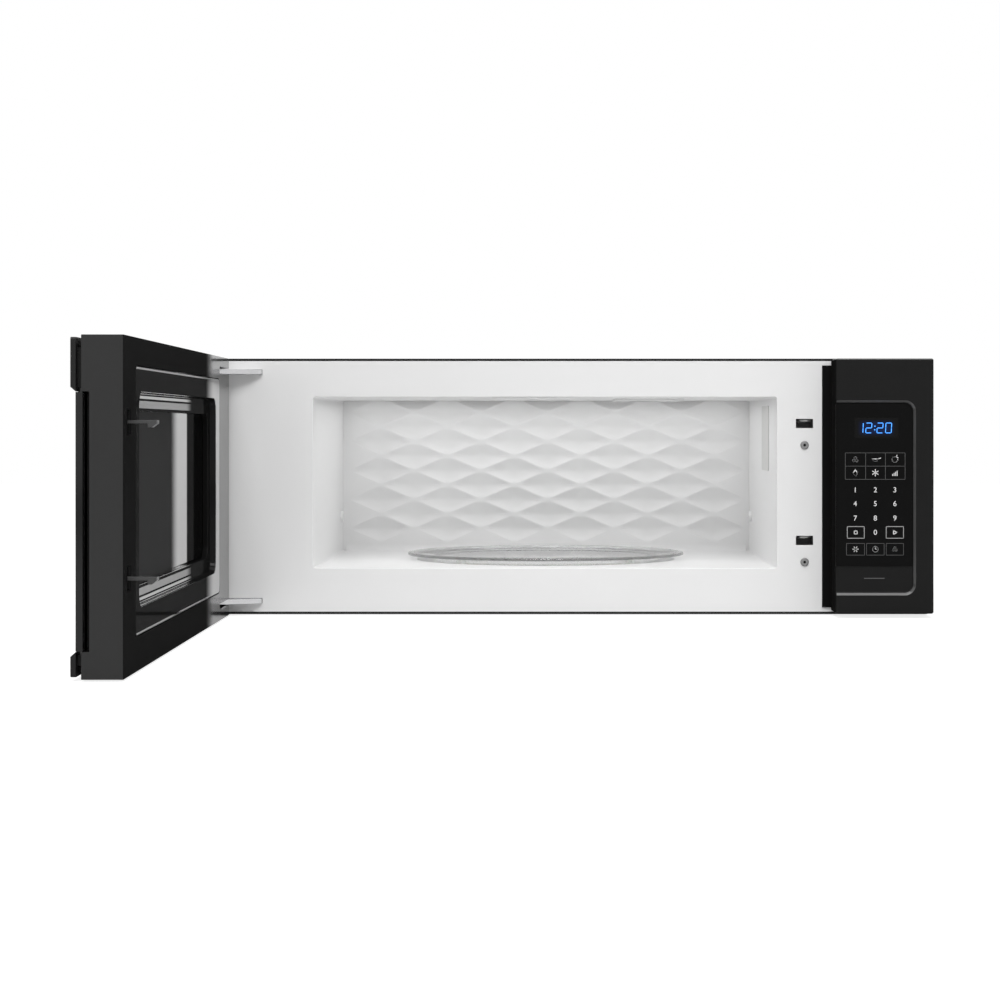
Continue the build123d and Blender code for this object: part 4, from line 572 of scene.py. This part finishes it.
# -------- control panel
# A hollow satin black moulding right of the door. Its field is sunk 4 mm behind a sloping border,
# and the keypad sheet and the clock's tinted window lie in it.
panel_low, panel_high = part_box("control_bezel")
border_rise = 4.0 * mm
outer_edge = 1.6 * mm
field_foot = 22.5 * mm


def matt_black(place):
    drift = place.noise(16.0, 3.0)
    return {"Base Color": place.blend(drift, tone(0.0075), tone(0.0105)),
            "Normal": place.relief(place.noise(2600.0, 1.0), 0.010 * mm)}


matt = (matt_black, {"Specular_IOR_Level": 0.0, "Roughness": 0.6})


def panel_skin(place):
    """Satin grain, with painted highlights on the sloping border of the field and along the top edge,
    lightest on the border's upward-facing foot; a clear coat lies over the highlighted parts.
    """
    drift = place.noise(16.0, 3.0)
    along, deep, up = (place.axis(index) for index in range(3))
    slope = deep.band(panel_low.y + 0.4 * mm, panel_low.y + border_rise - 1.2 * mm, 0.2 * mm)
    inside = along.band(panel_low.x + 1.4 * mm, panel_high.x - 6 * mm, 0.6 * mm)
    below_top = up.step(panel_high.z - 4 * mm, panel_high.z - 6 * mm)
    above_foot = up.step(panel_low.z + 4 * mm, panel_low.z + 6 * mm)
    top = up.step(panel_high.z - outer_edge, panel_high.z - 0.4 * outer_edge)
    # Painted highlight: the border's slopes and the top edge are coloured lighter, where light
    # catches them.
    painted_highlight = place.maths("MAXIMUM", slope * inside * below_top * above_foot, 0.7 * top)
    # Painted highlight: the border's foot faces up to the light and is coloured lighter still.
    foot = up.step(panel_low.z + field_foot, panel_low.z + field_foot - mm)
    highlight_tones = place.blend(foot, tone(0.062), tone(0.16))
    return {"Base Color": place.blend(painted_highlight, place.blend(drift, tone(0.0085), tone(0.0105)), highlight_tones),
            "Roughness": 0.38 + 0.1 * (drift - 0.5),
            "Coat Weight": 0.6 * painted_highlight,
            "Normal": place.relief(place.noise(2600.0, 1.0), 0.010 * mm)}


def off_the_side(place):
    """0 on the side that faces the door, which is left matt, and 1 on the rest."""
    return place.axis(0).step(panel_low.x + 0.2 * mm, panel_low.x + 0.7 * mm)


panel_gloss = {"Specular_IOR_Level": 0.1, "Coat_IOR": 1.7, "Coat_Roughness": 0.2}
softened("control_bezel", "panel_body", 0.35 * mm,
         layered("panel_black", matt, (panel_skin, panel_gloss), off_the_side))
softened("panel_side_strip", "panel_trim_strip", 0.25 * mm,
         moulding("strip_black", 0.0042, 0.4, Specular_IOR_Level=0.05))


def printed_film(place):
    """Matt-printed polyester: almost even, with the faint emboss of the print's grain."""
    return {"Base Color": place.blend(place.noise(30.0, 3.0), tone(0.0036), tone(0.0046)),
            "Roughness": 0.3 + 0.1 * place.noise(14.0, 3.0),
            "Normal": place.relief(place.noise(1800.0), 0.003 * mm)}


softened("keypad_overlay", "keypad_sheet", 0.12 * mm,
         finish("keypad_film", printed_film, Specular_IOR_Level=0.05))
window_low, window_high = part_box("display_window")


def tinted(place):
    """Smoke-tinted acrylic, with a painted blue glow round the figures, standing in for the light
    that the lit figures cast into it.
    """
    middle = (window_low + window_high) / 2
    across = place.axis(0).band(middle.x - 11 * mm, middle.x + 11 * mm, 9 * mm)
    up = place.axis(2).band(middle.z - 3 * mm, middle.z + 3 * mm, 6 * mm)
    # Painted light: the window's emission, a blue glow round the figures, stands in for their light.
    return {"Base Color": place.blend(place.noise(50.0), tone(0.0030), tone(0.0045)),
            "Roughness": 0.08 + 0.05 * place.noise(22.0, 3.0),
            "Emission Color": place.blend(across * up, tone(0.0), tone((0.001, 0.008, 0.050)))}


softened("display_window", "clock_window", 0.1 * mm,
         finish("display_tint", tinted, Specular_IOR_Level=0.1, Emission_Strength=1.0))

# -------- keypad print
# Silver-white print on the keypad sheet: frames round the keys, the digits and plain signs for
# what the other keys do. Each stroke is a strip of ink a few hundredths of a millimetre thick.
sheet_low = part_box("keypad_overlay")[0]
ink_thickness = 0.06 * mm
ink_rise = 0.05 * mm
ink_front = sheet_low.y - ink_rise
thin_line = 0.42 * mm
bold_line = 0.62 * mm
columns = (301.8 * mm, 321.9 * mm, 341.5 * mm)


def ink(name, strength):
    """Pigmented ink, a little uneven where it is thin."""
    def draw(place):
        return {
            "Base Color": place.blend(place.noise(900.0), tone(strength * 0.9), tone(strength)),
            "Roughness": 0.5 + 0.1 * place.noise(300.0),
        }
    return finish(name, draw, Specular_IOR_Level=0.3)


white_ink = ink("white_ink", 0.80)
grey_ink = ink("grey_ink", 0.10)
pale_ink = ink("pale_ink", 0.42)


def stroke(start, end, width):
    """A straight strip of ink between two points (x, z) of the sheet."""
    start, end = Vector(start), Vector(end)
    along = end - start
    bpy.ops.mesh.primitive_cube_add(size=1)
    piece = bpy.context.object
    middle = (start + end) / 2
    piece.matrix_world = (
        Matrix.Translation((middle.x, ink_front + ink_thickness / 2, middle.y))
        @ Matrix.Rotation(-math.atan2(along.y, along.x), 4, "Y")
        @ Matrix.Diagonal((along.length + width, ink_thickness, width, 1)))
    bpy.ops.object.transform_apply()
    return piece


def ring(centre, radius, width, count, start=0.0, end=360.0):
    """An arc or a full ring of short strips round a point (x, z)."""
    points = arc(centre, radius, start, end, count)
    return [stroke(a, b, width) for a, b in zip(points, points[1:])]


def closed_line(corners, width):
    """An outline of ink through a few corners and back to the first."""
    return [stroke(a, b, width) for a, b in zip(corners, corners[1:] + corners[:1])]


def frame_lines(left, right, low, high, width):
    """A rectangle of ink."""
    return closed_line([(left, low), (right, low), (right, high), (left, high)], width)


def towards(degrees):
    """A unit vector in the plane of the sheet."""
    return Vector((math.cos(math.radians(degrees)), math.sin(math.radians(degrees))))


def joined(name, pieces, material):
    """Several strips as one piece on the casing."""
    activate(pieces[0])
    for piece in pieces:
        piece.select_set(True)
    bpy.ops.object.join()
    piece = bpy.context.object
    piece.name = name
    coat(piece, material)
    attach(piece, "cabinet")


# The grid of the six programme keys, and the boxes of the keys below the digits.
grid_left, grid_right = 291.8 * mm, 351.7 * mm
grid_low, grid_mid, grid_high = 8.0 * mm, 21.2 * mm, 34.5 * mm
grid_splits = (312.2 * mm, 332.0 * mm)
frames = frame_lines(grid_left, grid_right, grid_low, grid_high, thin_line)
frames.append(stroke((grid_left, grid_mid), (grid_right, grid_mid), thin_line))
for x in grid_splits:
    frames.append(stroke((x, grid_low), (x, grid_high), thin_line))
lower_boxes = [(left * mm, right * mm) for left, right in
               ((293.0, 311.1), (313.1, 330.7), (332.8, 350.1))]
lower_box_low, lower_box_high = -67.9 * mm, -56.2 * mm
for left, right in lower_boxes:
    frames += frame_lines(left, right, lower_box_low, lower_box_high, thin_line)
joined("keypad_frames", frames, grey_ink)

bright_boxes = [(293.8 * mm, 310.8 * mm), (332.8 * mm, 350.1 * mm)]
bright_box_low, bright_box_high = -51.0 * mm, -39.3 * mm
frames = []
for left, right in bright_boxes:
    frames += frame_lines(left, right, bright_box_low, bright_box_high, bold_line)
joined("keypad_bold_frames", frames, pale_ink)

# The digits, in a plain bold face.
digit_height = 5.1 * mm
digit_rows = (-2.8 * mm, -16.6 * mm, -31.1 * mm, -45.3 * mm)
digit_places = [(str(3 * row + column + 1), columns[column], digit_rows[row])
                for row in range(3) for column in range(3)] + [("0", columns[1], digit_rows[3])]
cap_share = 0.70
digit_scale = digit_height / cap_share
digit_boldness = 0.003
digits = []
for text, x, z in digit_places:
    bpy.ops.object.text_add()
    digit = bpy.context.object
    digit.data.body = text
    digit.data.align_x = "CENTER"
    digit.data.align_y = "CENTER"
    digit.data.offset = digit_boldness
    digit.data.extrude = ink_thickness / 2 / digit_scale
    bpy.ops.object.convert(target="MESH")
    digit = bpy.context.object
    digit.matrix_world = (Matrix.Translation((x, ink_front + ink_thickness / 2, z))
                          @ Matrix.Rotation(math.pi / 2, 4, "X") @ Matrix.Scale(digit_scale, 4))
    bpy.ops.object.transform_apply()
    digits.append(digit)
joined("keypad_digits", digits, white_ink)

# Plain signs for the other keys: dots, a pan, a turning arrow, a drop, a star of frost, rising
# bars, a stop square, a triangle, a lamp, a clock and a fan.
left_column, mid_column, right_column = columns
upper_row = (grid_mid + grid_high) / 2
lower_row = (grid_low + grid_mid) / 2
box_row = -45.2 * mm
last_row = -62.0 * mm
sign = 2.8 * mm
pen, broad_pen = 0.75 * mm, 0.8 * mm
signs = []
dot_radius = 1.25 * mm
for across, up in ((-1.5 * mm, -0.9 * mm), (1.5 * mm, -0.9 * mm), (0, 1.4 * mm)):
    signs += ring((left_column + across, upper_row + up), dot_radius, pen, 14)
pan_rim, pan_grip = upper_row + 0.6 * mm, upper_row + 1.4 * mm
signs.append(stroke((mid_column - sign, pan_rim), (mid_column + sign, pan_rim), pen))
signs += ring((mid_column, pan_rim), sign * 0.85, pen, 12, 180, 360)
signs.append(stroke((mid_column + sign, pan_rim), (mid_column + sign * 1.9, pan_grip), pen))
signs += ring((right_column, upper_row), sign, pen, 20, 60, 360)
arrow_tip = (right_column + sign * 0.5, upper_row + sign * 0.87)
for across, up in ((1.1, 0.6), (0.7, 1.5)):
    signs.append(stroke(arrow_tip, (right_column + sign * across, upper_row + sign * up), pen))
drop_side, drop_top = lower_row - 0.1 * mm, lower_row + sign * 1.2
signs += ring((left_column, lower_row - 0.6 * mm), sign * 0.75, pen, 14, 150, 390)
for side in (-sign * 0.65, sign * 0.65):
    signs.append(stroke((left_column + side, drop_side), (left_column, drop_top), pen))
for turn in (30, 90, 150):
    middle, reach = Vector((mid_column, lower_row)), towards(turn) * sign * 1.15
    signs.append(stroke(middle - reach, middle + reach, pen))
bar_pitch, bar_step, bar_foot = 1.5 * mm, 1.1 * mm, lower_row - sign
for bar in range(4):
    bar_x = right_column + (bar - 1.5) * bar_pitch
    signs.append(stroke((bar_x, bar_foot), (bar_x, bar_foot + (bar + 1) * bar_step), broad_pen))
stop_x, start_x = (sum(sides) / 2 for sides in bright_boxes)
stop_half = 1.5 * mm
signs += frame_lines(stop_x - stop_half, stop_x + stop_half,
                     box_row - stop_half, box_row + stop_half, broad_pen)
start_back, start_tip, start_half = start_x - 1.4 * mm, start_x + 2.1 * mm, 1.9 * mm
signs += closed_line([(start_back, box_row - start_half), (start_tip, box_row),
                      (start_back, box_row + start_half)], broad_pen)
lamp_x, clock_x, fan_x = (sum(sides) / 2 for sides in lower_boxes)
signs += ring((lamp_x, last_row), 1.1 * mm, pen, 14)
for turn in range(0, 360, 60):
    middle, reach = Vector((lamp_x, last_row)), towards(turn)
    signs.append(stroke(middle + reach * 1.9 * mm, middle + reach * 2.6 * mm, pen))
signs += ring((clock_x, last_row), sign, pen, 22)
for hand in ((clock_x, last_row + 1.4 * mm), (clock_x + 1.0 * mm, last_row)):
    signs.append(stroke((clock_x, last_row), hand, pen))
for turn in (90, 210, 330):
    blade = Vector((fan_x, last_row)) + towards(turn) * 1.35 * mm
    signs += ring(blade, 1.0 * mm, pen, 12)
joined("keypad_signs", signs, white_ink)

# A short raised line in the panel's field, below the sheet.
ink_front = panel_low.y + border_rise - ink_rise
line_left, line_right, line_z = 311.3 * mm, 330.8 * mm, -91.2 * mm
line_bar = stroke((line_left, line_z), (line_right, line_z), 0.9 * mm)
apply_modifier(line_bar, "BEVEL", width=0.02 * mm, segments=2)
joined("field_line", [line_bar], moulding("line_grey", 0.075, 0.45))

# -------- clock
# Seven-segment figures of the fluorescent clock, which shine through the tinted window. They
# lean a little to the right, as such figures do.
clock_text = "12:20"
clock_left = 309.4 * mm
clock_low, clock_high = 54.5 * mm, 64.4 * mm
clock_lean = math.radians(3)
segment_width = 1.05 * mm
figure_width = 6.8 * mm
figure_gap = 1.8 * mm
colon_width = 2.6 * mm
colon_dots = (0.32, 0.68)
segment_inset = segment_width * 0.62
segment_pen = segment_width * 0.66
lit = {"1": "bc", "2": "abged", "0": "abcdef"}


def segment(key, left, width):
    """The two ends of one segment, named a to g as usual, clockwise from the top."""
    low, half, high = clock_low, (clock_low + clock_high) / 2, clock_high
    right = left + width
    ends = {"a": ((left, high), (right, high)), "b": ((right, half), (right, high)),
            "c": ((right, low), (right, half)), "d": ((left, low), (right, low)),
            "e": ((left, low), (left, half)), "f": ((left, half), (left, high)),
            "g": ((left, half), (right, half))}
    start, end = (Vector(p) for p in ends[key])
    trim = (end - start).normalized() * segment_inset
    return start + trim, end - trim


def leaned(point):
    """A point of the clock's plane, moved right in step with its height."""
    return (point[0] + (point[1] - clock_low) * math.tan(clock_lean), point[1])


ink_front = window_low.y - ink_rise
figures = []
cursor = clock_left - figure_width + segment_width
for character in clock_text:
    if character == ":":
        for share in colon_dots:
            height = clock_low + (clock_high - clock_low) * share
            dot = leaned((cursor + colon_width * 0.1, height))
            figures.append(stroke(dot, (dot[0] + 0.05 * mm, dot[1]), segment_width))
        cursor += colon_width
        continue
    for key in lit[character]:
        start, end = segment(key, cursor, figure_width - segment_width)
        figures.append(stroke(leaned(start), leaned(end), segment_pen))
    cursor += figure_width + figure_gap


def phosphor(place):
    glow = place.noise(500.0)
    return {"Emission Color": place.blend(glow, tone((0.02, 0.24, 0.92)), tone((0.12, 0.50, 1.0)))}


clock_phosphor = finish("clock_phosphor", phosphor, Base_Color=tone((0.02, 0.1, 0.5)),
                        Emission_Strength=1.6)
joined("clock_figures", figures, clock_phosphor)

# -------- hinges and interlock
# Two bright plated steel arms come through the faceplate and carry the door's pins. Behind the
# two slots sits a dark moulded housing with a pale lever and the door switches.
softened("hinge_brackets", "hinge_arms", 0.4 * mm, plated, segments=3)
dark_moulding = moulding("dark_moulding", 0.022, 0.45, Specular_IOR_Level=0.3)
softened("interlock_housing", "latch_housing", 0.3 * mm,
         moulding("housing_grey", 0.30, 0.5, 0.02 * mm))
coat(nodes["door_switches"], dark_moulding)
pale_moulding = moulding("pale_moulding", (0.80, 0.80, 0.78), 0.4)
softened("interlock_lever_upper", "latch_lever_upper", 0.3 * mm, pale_moulding)
softened("interlock_lever_lower", "latch_lever_lower", 0.3 * mm, pale_moulding)

# -------- door
# The door is a hollow satin black moulding with a front frame snapped over it. Black glass fills
# the frame up to the pull bar at the free edge.
joints = {joint["name"]: joint for joint in frame["record"]["behaviour"]["joints"]}
hinge = joints["door_hinge"]
hinge_place = Vector(hinge["pos_m"])
door_angle = math.radians(-hinge["range_deg"][0])
out_along_door = Vector((math.cos(door_angle), -math.sin(door_angle), 0))
in_through_door = Vector((math.sin(door_angle), math.cos(door_angle), 0))
door_inner_face = 28.0 * mm
mirror_near, mirror_far = 105 * mm, 172 * mm
faint_gloss = 0.03


def from_hinge(place):
    """How far out along the door a place is."""
    return place.distance_along(out_along_door, hinge_place)


def through_door(place):
    """How deep a place is, from the front of the door towards the oven."""
    return place.distance_along(in_through_door, hinge_place)


def mirrored(place):
    """1 close to the hinge, where the polished face still mirrors the white front frame."""
    return from_hinge(place).step(mirror_far, mirror_near)


def satin_skin(place):
    drift = place.noise(16.0, 3.0)
    return {"Base Color": place.blend(drift, tone(0.0065), tone(0.0085)),
            "Roughness": (0.36 + 0.1 * (drift - 0.5)) * (1.0 - 0.6 * mirrored(place)),
            "Normal": place.relief(place.noise(2600.0, 1.0), 0.004 * mm)}


def shell_share(place):
    """The inner face is matt but for the mirrored end; every other face is satin."""
    inner = through_door(place).step(door_inner_face - 0.9 * mm, door_inner_face - 0.3 * mm)
    kept = place.maths("MAXIMUM", mirrored(place), 1.0 - inner)
    return place.maths("MAXIMUM", kept, faint_gloss)


def gloss_skin(place):
    """Polished black, with the finest of orange peel and a few wiped streaks."""
    streaks = place.stretch(1, 0.3, 1).noise(14.0, 3.0)
    return {"Base Color": place.blend(streaks, tone(0.0045), tone(0.0060)),
            "Roughness": 0.05 + 0.07 * streaks,
            "Normal": place.relief(place.noise(300.0), 0.004 * mm)}


rib_bands = ((17.2, 19.0), (20.4, 21.8), (22.2, 24.0), (25.2, 27.6))
ledge_ribs = ((0.3, 1.4, 1.0), (3.2, 5.0, 0.9), (7.2, 12.6, 0.6))
ledge_face = (21.8, 22.2)
ribs_start, ribs_full = 215 * mm, 260 * mm
recess_low, recess_high = -81 * mm, 88 * mm
flat_depth = 27.3 * mm
cover_low, cover_high = (corner.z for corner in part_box("door_inner_cover"))
lip_width = 2.2 * mm


def cover_share(place):
    """The flats are matt but for the mirrored end; the recess's rims and steps stay polished."""
    depth = through_door(place)
    rims = depth.band(rib_bands[0][0] * mm, rib_bands[0][1] * mm, 0.15 * mm)
    for low, high in rib_bands[1:]:
        rims = place.maths("MAXIMUM", rims, depth.band(low * mm, high * mm, 0.15 * mm))
    up = place.axis(2)
    inset = place.maths("MINIMUM", recess_high - up, up - recess_low)
    on_ledge = depth.band(ledge_face[0] * mm, ledge_face[1] * mm, 0.1 * mm)
    for low, high, share in ledge_ribs:
        rib = inset.band(low * mm, high * mm, 0.5 * mm) * on_ledge * share
        rims = place.maths("MAXIMUM", rims, rib)
    on_flat = mirrored(place) * depth.step(flat_depth, flat_depth + 0.3 * mm)
    lip = place.maths("MAXIMUM", up.step(cover_high - lip_width, cover_high - 0.6 * lip_width),
                      up.step(cover_low + lip_width, cover_low + 0.6 * lip_width))
    on_flat = place.maths("MAXIMUM", on_flat, 0.6 * lip)
    away = from_hinge(place).step(ribs_start, ribs_full)
    return place.maths("MAXIMUM", place.maths("MAXIMUM", on_flat, rims * away), faint_gloss)


polished = {"IOR": 1.6, "Coat_Weight": 1.0, "Coat_Roughness": 0.04, "Coat_IOR": 2.3}
gloss_black = finish("gloss_black", gloss_skin, Specular_IOR_Level=0.35)
softened("door_body", "door_shell", 0.45 * mm,
         layered("door_black", matt, (satin_skin, {"Specular_IOR_Level": 0.45}),
                 shell_share))
softened("door_bezel", "door_front_frame", 0.45 * mm,
         moulding("bezel_black", 0.013, 0.36, Specular_IOR_Level=0.18))
softened("door_pull_bar", "door_bar", 0.3 * mm, gloss_black)


def dark_glass(place):
    return {"Base Color": place.blend(place.noise(4.0, 3.0), tone(0.0035), tone(0.0050)),
            "Roughness": 0.02 + 0.03 * place.noise(9.0, 4.0)}


softened("door_glass", "door_outer_glass", 0.3 * mm, finish("black_glass", dark_glass))
softened("door_inner_cover", "door_inner_frame", 0.6 * mm,
         layered("cover_black", matt, (gloss_skin, polished), cover_share),
         segments=3)
streak_near, streak_far = 212 * mm, 322 * mm


def smoke(place):
    """Smoked pane: painted lighter grey away from the hinge, standing in for the light that the
    screen behind it catches.
    """
    # Painted light: the pane's grey here stands for the lit screen behind it.
    painted_screen_light = from_hinge(place).step(streak_near, streak_near + 6 * mm)
    return {"Base Color": place.blend(painted_screen_light, tone(0.004), tone(0.030)),
            "Roughness": 0.6 + 0.1 * place.noise(12.0, 4.0)}


def pane_share(place):
    """The upright streak in which the pane mirrors the front frame."""
    out = from_hinge(place)
    streak = (out.step(streak_near, streak_near + 8 * mm)
              * out.step(streak_far, streak_far - 52 * mm))
    return place.maths("MAXIMUM", streak, faint_gloss)


softened("door_inner_pane", "door_inner_window", 0.2 * mm,
         layered("smoked_pane", (smoke, {"Specular_IOR_Level": 0.0}), (gloss_skin, polished),
                 pane_share))

# The steel behind the pane is punched with a close grid of round holes.
punch_pitch = 1.6 * mm


def punched(place):
    grid = place.cells(1 / punch_pitch)
    return {"Base Color": place.blend(grid.step(0.30, 0.36), tone(0.004), tone(0.04)),
            "Roughness": 0.45 + 0.1 * place.noise(20.0)}


coat(nodes["door_screen_frame"], finish("punched_screen", punched))
coat(nodes["hinge_bushes"], nylon)
softened("latch_rail", "latch_hooks", 0.3 * mm, moulding("hook_grey", 0.04, 0.35))
coat(nodes["latch_spring"], plated)

# -------- hood side
# The duct collar and its flap on top, the grease filters and cooktop lamps underneath, and the
# squirrel-cage fan inside the casing's left end.
softened("duct_collar", "vent_collar", 0.25 * mm, galvanised)
aluminium = rolled_metal("aluminium_sheet", (0.62, 0.62, 0.63), 0.3)
softened("duct_damper", "vent_flap", 0.2 * mm, aluminium)
for node in ("blower_housing", "waveguide", "cooling_fan_frame"):
    coat(nodes[node], galvanised)
motor_paint = enamel("motor_paint", 0.05, 0.4)
for node in ("blower_motor", "cooling_fan_motor"):
    coat(nodes[node], motor_paint)
coat(nodes["blower_wheel"], dark_moulding)
coat(nodes["cooling_fan_blades"], moulding("grey_moulding", (0.16, 0.17, 0.18), 0.4))

mesh_pitch = 2.4 * mm


def knitted_mesh(place):
    """Layers of expanded aluminium mesh: crossed wires with dark gaps."""
    one_way, other_way = (turned.waves("DIAGONAL", 0.16 / mesh_pitch, 0.6)
                          for turned in (place, place.stretch(-1, 1, 1)))
    wires = place.maths("MAXIMUM", one_way, other_way)
    return {"Base Color": place.blend(wires, tone(0.10), tone(0.62)),
            "Roughness": 0.6 - 0.25 * wires,
            "Normal": place.relief(wires, 0.5 * mm)}


coat(nodes["grease_filters"], finish("filter_mesh", knitted_mesh, Metallic=0.9))


def charcoal_pad(place):
    grains = place.cells(420.0)
    return {"Base Color": place.blend(grains, tone(0.004), tone(0.02)),
            "Roughness": 0.9 - 0.1 * grains,
            "Normal": place.relief(grains, 0.6 * mm)}


coat(nodes["charcoal_filters"], finish("charcoal", charcoal_pad))


def frosted(place):
    return {"Base Color": place.blend(place.noise(80.0), tone(0.70), tone(0.78)),
            "Roughness": 0.45 + 0.1 * place.noise(300.0),
            "Normal": place.relief(place.cells(700.0), 0.03 * mm)}


softened("cooktop_lamp_lenses", "cooktop_lenses", 0.3 * mm, finish("frosted_glass", frosted))
coat(nodes["cooktop_lamps"], lamp_holder)

# -------- high-voltage side
# What makes the microwaves, between the oven and the casing's right end: the magnetron, its
# transformer, capacitor and diode, and the boards.
fins = rolled_metal("aluminium_fins", (0.60, 0.61, 0.62), 0.28)
for node in ("magnetron", "capacitor"):
    coat(nodes[node], fins)


def laminations(place):
    """The edges of stacked steel sheets, half a millimetre each, under brown varnish."""
    layers = place.waves("Y", 150.0)
    return {"Base Color": place.blend(layers, tone((0.10, 0.07, 0.05)), tone((0.26, 0.24, 0.22))),
            "Roughness": 0.35 + 0.2 * layers, "Normal": place.relief(layers, 0.05 * mm)}


coat(nodes["transformer_core"], finish("laminated_steel", laminations, Metallic=0.6))


def wound_copper(place):
    turns = place.waves("Z", 90.0)
    return {"Base Color": place.blend(turns, tone((0.16, 0.04, 0.015)), tone((0.50, 0.20, 0.08))),
            "Roughness": 0.3 + 0.1 * turns, "Normal": place.relief(turns, 0.3 * mm)}


coat(nodes["transformer_windings"], finish("enamelled_copper", wound_copper, Metallic=0.5))
coat(nodes["high_voltage_diode"], dark_moulding)


def lacquered_board(place):
    """A green board with its tracks as raised, lighter lines."""
    tracks = place.cells(160.0, "DISTANCE_TO_EDGE").step(0.06, 0.03)
    return {"Base Color": place.blend(tracks, tone((0.01, 0.07, 0.03)), tone((0.05, 0.18, 0.08))),
            "Roughness": 0.3 + 0.2 * place.noise(60.0), "Normal": place.relief(tracks, 0.05 * mm)}


circuit_board = finish("circuit_board", lacquered_board)
for node in ("control_board", "mains_filter_board"):
    coat(nodes[node], circuit_board)


def rubber(place):
    bloom = place.noise(90.0, 4.0)
    return {"Base Color": place.blend(bloom, tone(0.010), tone(0.024)),
            "Roughness": 0.7 + 0.15 * bloom,
            "Normal": place.relief(place.noise(1500.0), 0.01 * mm)}


softened("cord_inlet", "cord_bush", 0.5 * mm, finish("black_rubber", rubber))

# -------- studio
# A white floor just under the base, a white surround, soft light from above and in front, and
# the camera of the photograph: level, square to the faceplate, with a small shift.
floor_gap = 1.0 * mm
floor_glow = 2.0
floor_glow_share = 0.4
floor_z = cad_box[0].z - floor_gap
bpy.ops.mesh.primitive_plane_add(size=12, location=(0, -0.5, floor_z))
floor = bpy.context.object
floor.name = "studio_floor"
floor_paint = bpy.data.materials.new("floor_paint")
floor_paint.use_nodes = True
ground = Signal(floor_paint.node_tree)
seen = ground.node("ShaderNodeLightPath", output="Is Camera Ray")
paint = ground.node("ShaderNodeBsdfDiffuse", inputs={"Color": tone(0.80)})
glow = ground.node("ShaderNodeEmission", inputs={"Color": tone(1.0), "Strength": floor_glow})
mixed = ground.node("ShaderNodeMixShader", inputs={0: seen * floor_glow_share, 1: paint, 2: glow})
ground.feed(floor_paint.node_tree.nodes["Material Output"], {"Surface": mixed})
coat(floor, floor_paint)

# The surround is white wherever it is seen, straight or mirrored, and lights things less.
world = bpy.data.worlds.new("studio")
bpy.context.scene.world = world
world.use_nodes = True
ambient = 0.46
rays = Signal(world.node_tree)
camera_ray, glossy_ray, clear_ray = (
    rays.node("ShaderNodeLightPath", output=key)
    for key in ("Is Camera Ray", "Is Glossy Ray", "Is Transmission Ray"))
direct = rays.maths("MAXIMUM", rays.maths("MAXIMUM", camera_ray, glossy_ray), clear_ray)
rays.feed(world.node_tree.nodes["Background"],
          {"Color": tone(1.0), "Strength": ambient + (1 - ambient) * direct})


def soft_box(name, place, target, width, height, power):
    """A rectangular soft light that faces a point."""
    data = bpy.data.lights.new(name, "AREA")
    data.shape = "RECTANGLE"
    data.size = width
    data.size_y = height
    data.energy = power
    lamp = bpy.data.objects.new(name, data)
    bpy.context.scene.collection.objects.link(lamp)
    lamp.location = place
    lamp.rotation_euler = (Vector(target) - Vector(place)).to_track_quat("-Z", "Y").to_euler()
    return lamp


soft_box("key_light", (0, -2.7, 2.3), (-0.1, -0.4, 0), 1.6, 1.2, 57)
soft_box("top_light", (0, -0.6, 2.2), (0, -0.4, 0), 1.8, 1.2, 14)

# The oven's own light comes down from its ceiling, and runs over the quilted wall.
oven_x = (liner_low.x + liner_high.x) / 2
oven_y = (liner_low.y + liner_high.y) / 2
oven_light = soft_box("oven_light", (oven_x, oven_y, liner_high.z - 4 * mm),
                      (oven_x, oven_y, liner_low.z), 440 * mm, 330 * mm, 0.46)
oven_light.visible_camera = False
oven_light.visible_glossy = False

photo_lens, photo_film = 89.5, 36.0
photo_shift = (-0.0539, -0.0716)
photo_distance, photo_height = 2.530, 59 * mm
face_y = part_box("faceplate")[0].y
camera_data = bpy.data.cameras.new("photo_camera")
camera_data.lens = photo_lens
camera_data.sensor_width = photo_film
camera_data.shift_x, camera_data.shift_y = photo_shift
camera = bpy.data.objects.new("photo_camera", camera_data)
bpy.context.scene.collection.objects.link(camera)
camera.location = (0, face_y - photo_distance, photo_height)
camera.rotation_euler = (math.pi / 2, 0, 0)
bpy.context.scene.camera = camera
bpy.context.scene.view_settings.view_transform = "Standard"
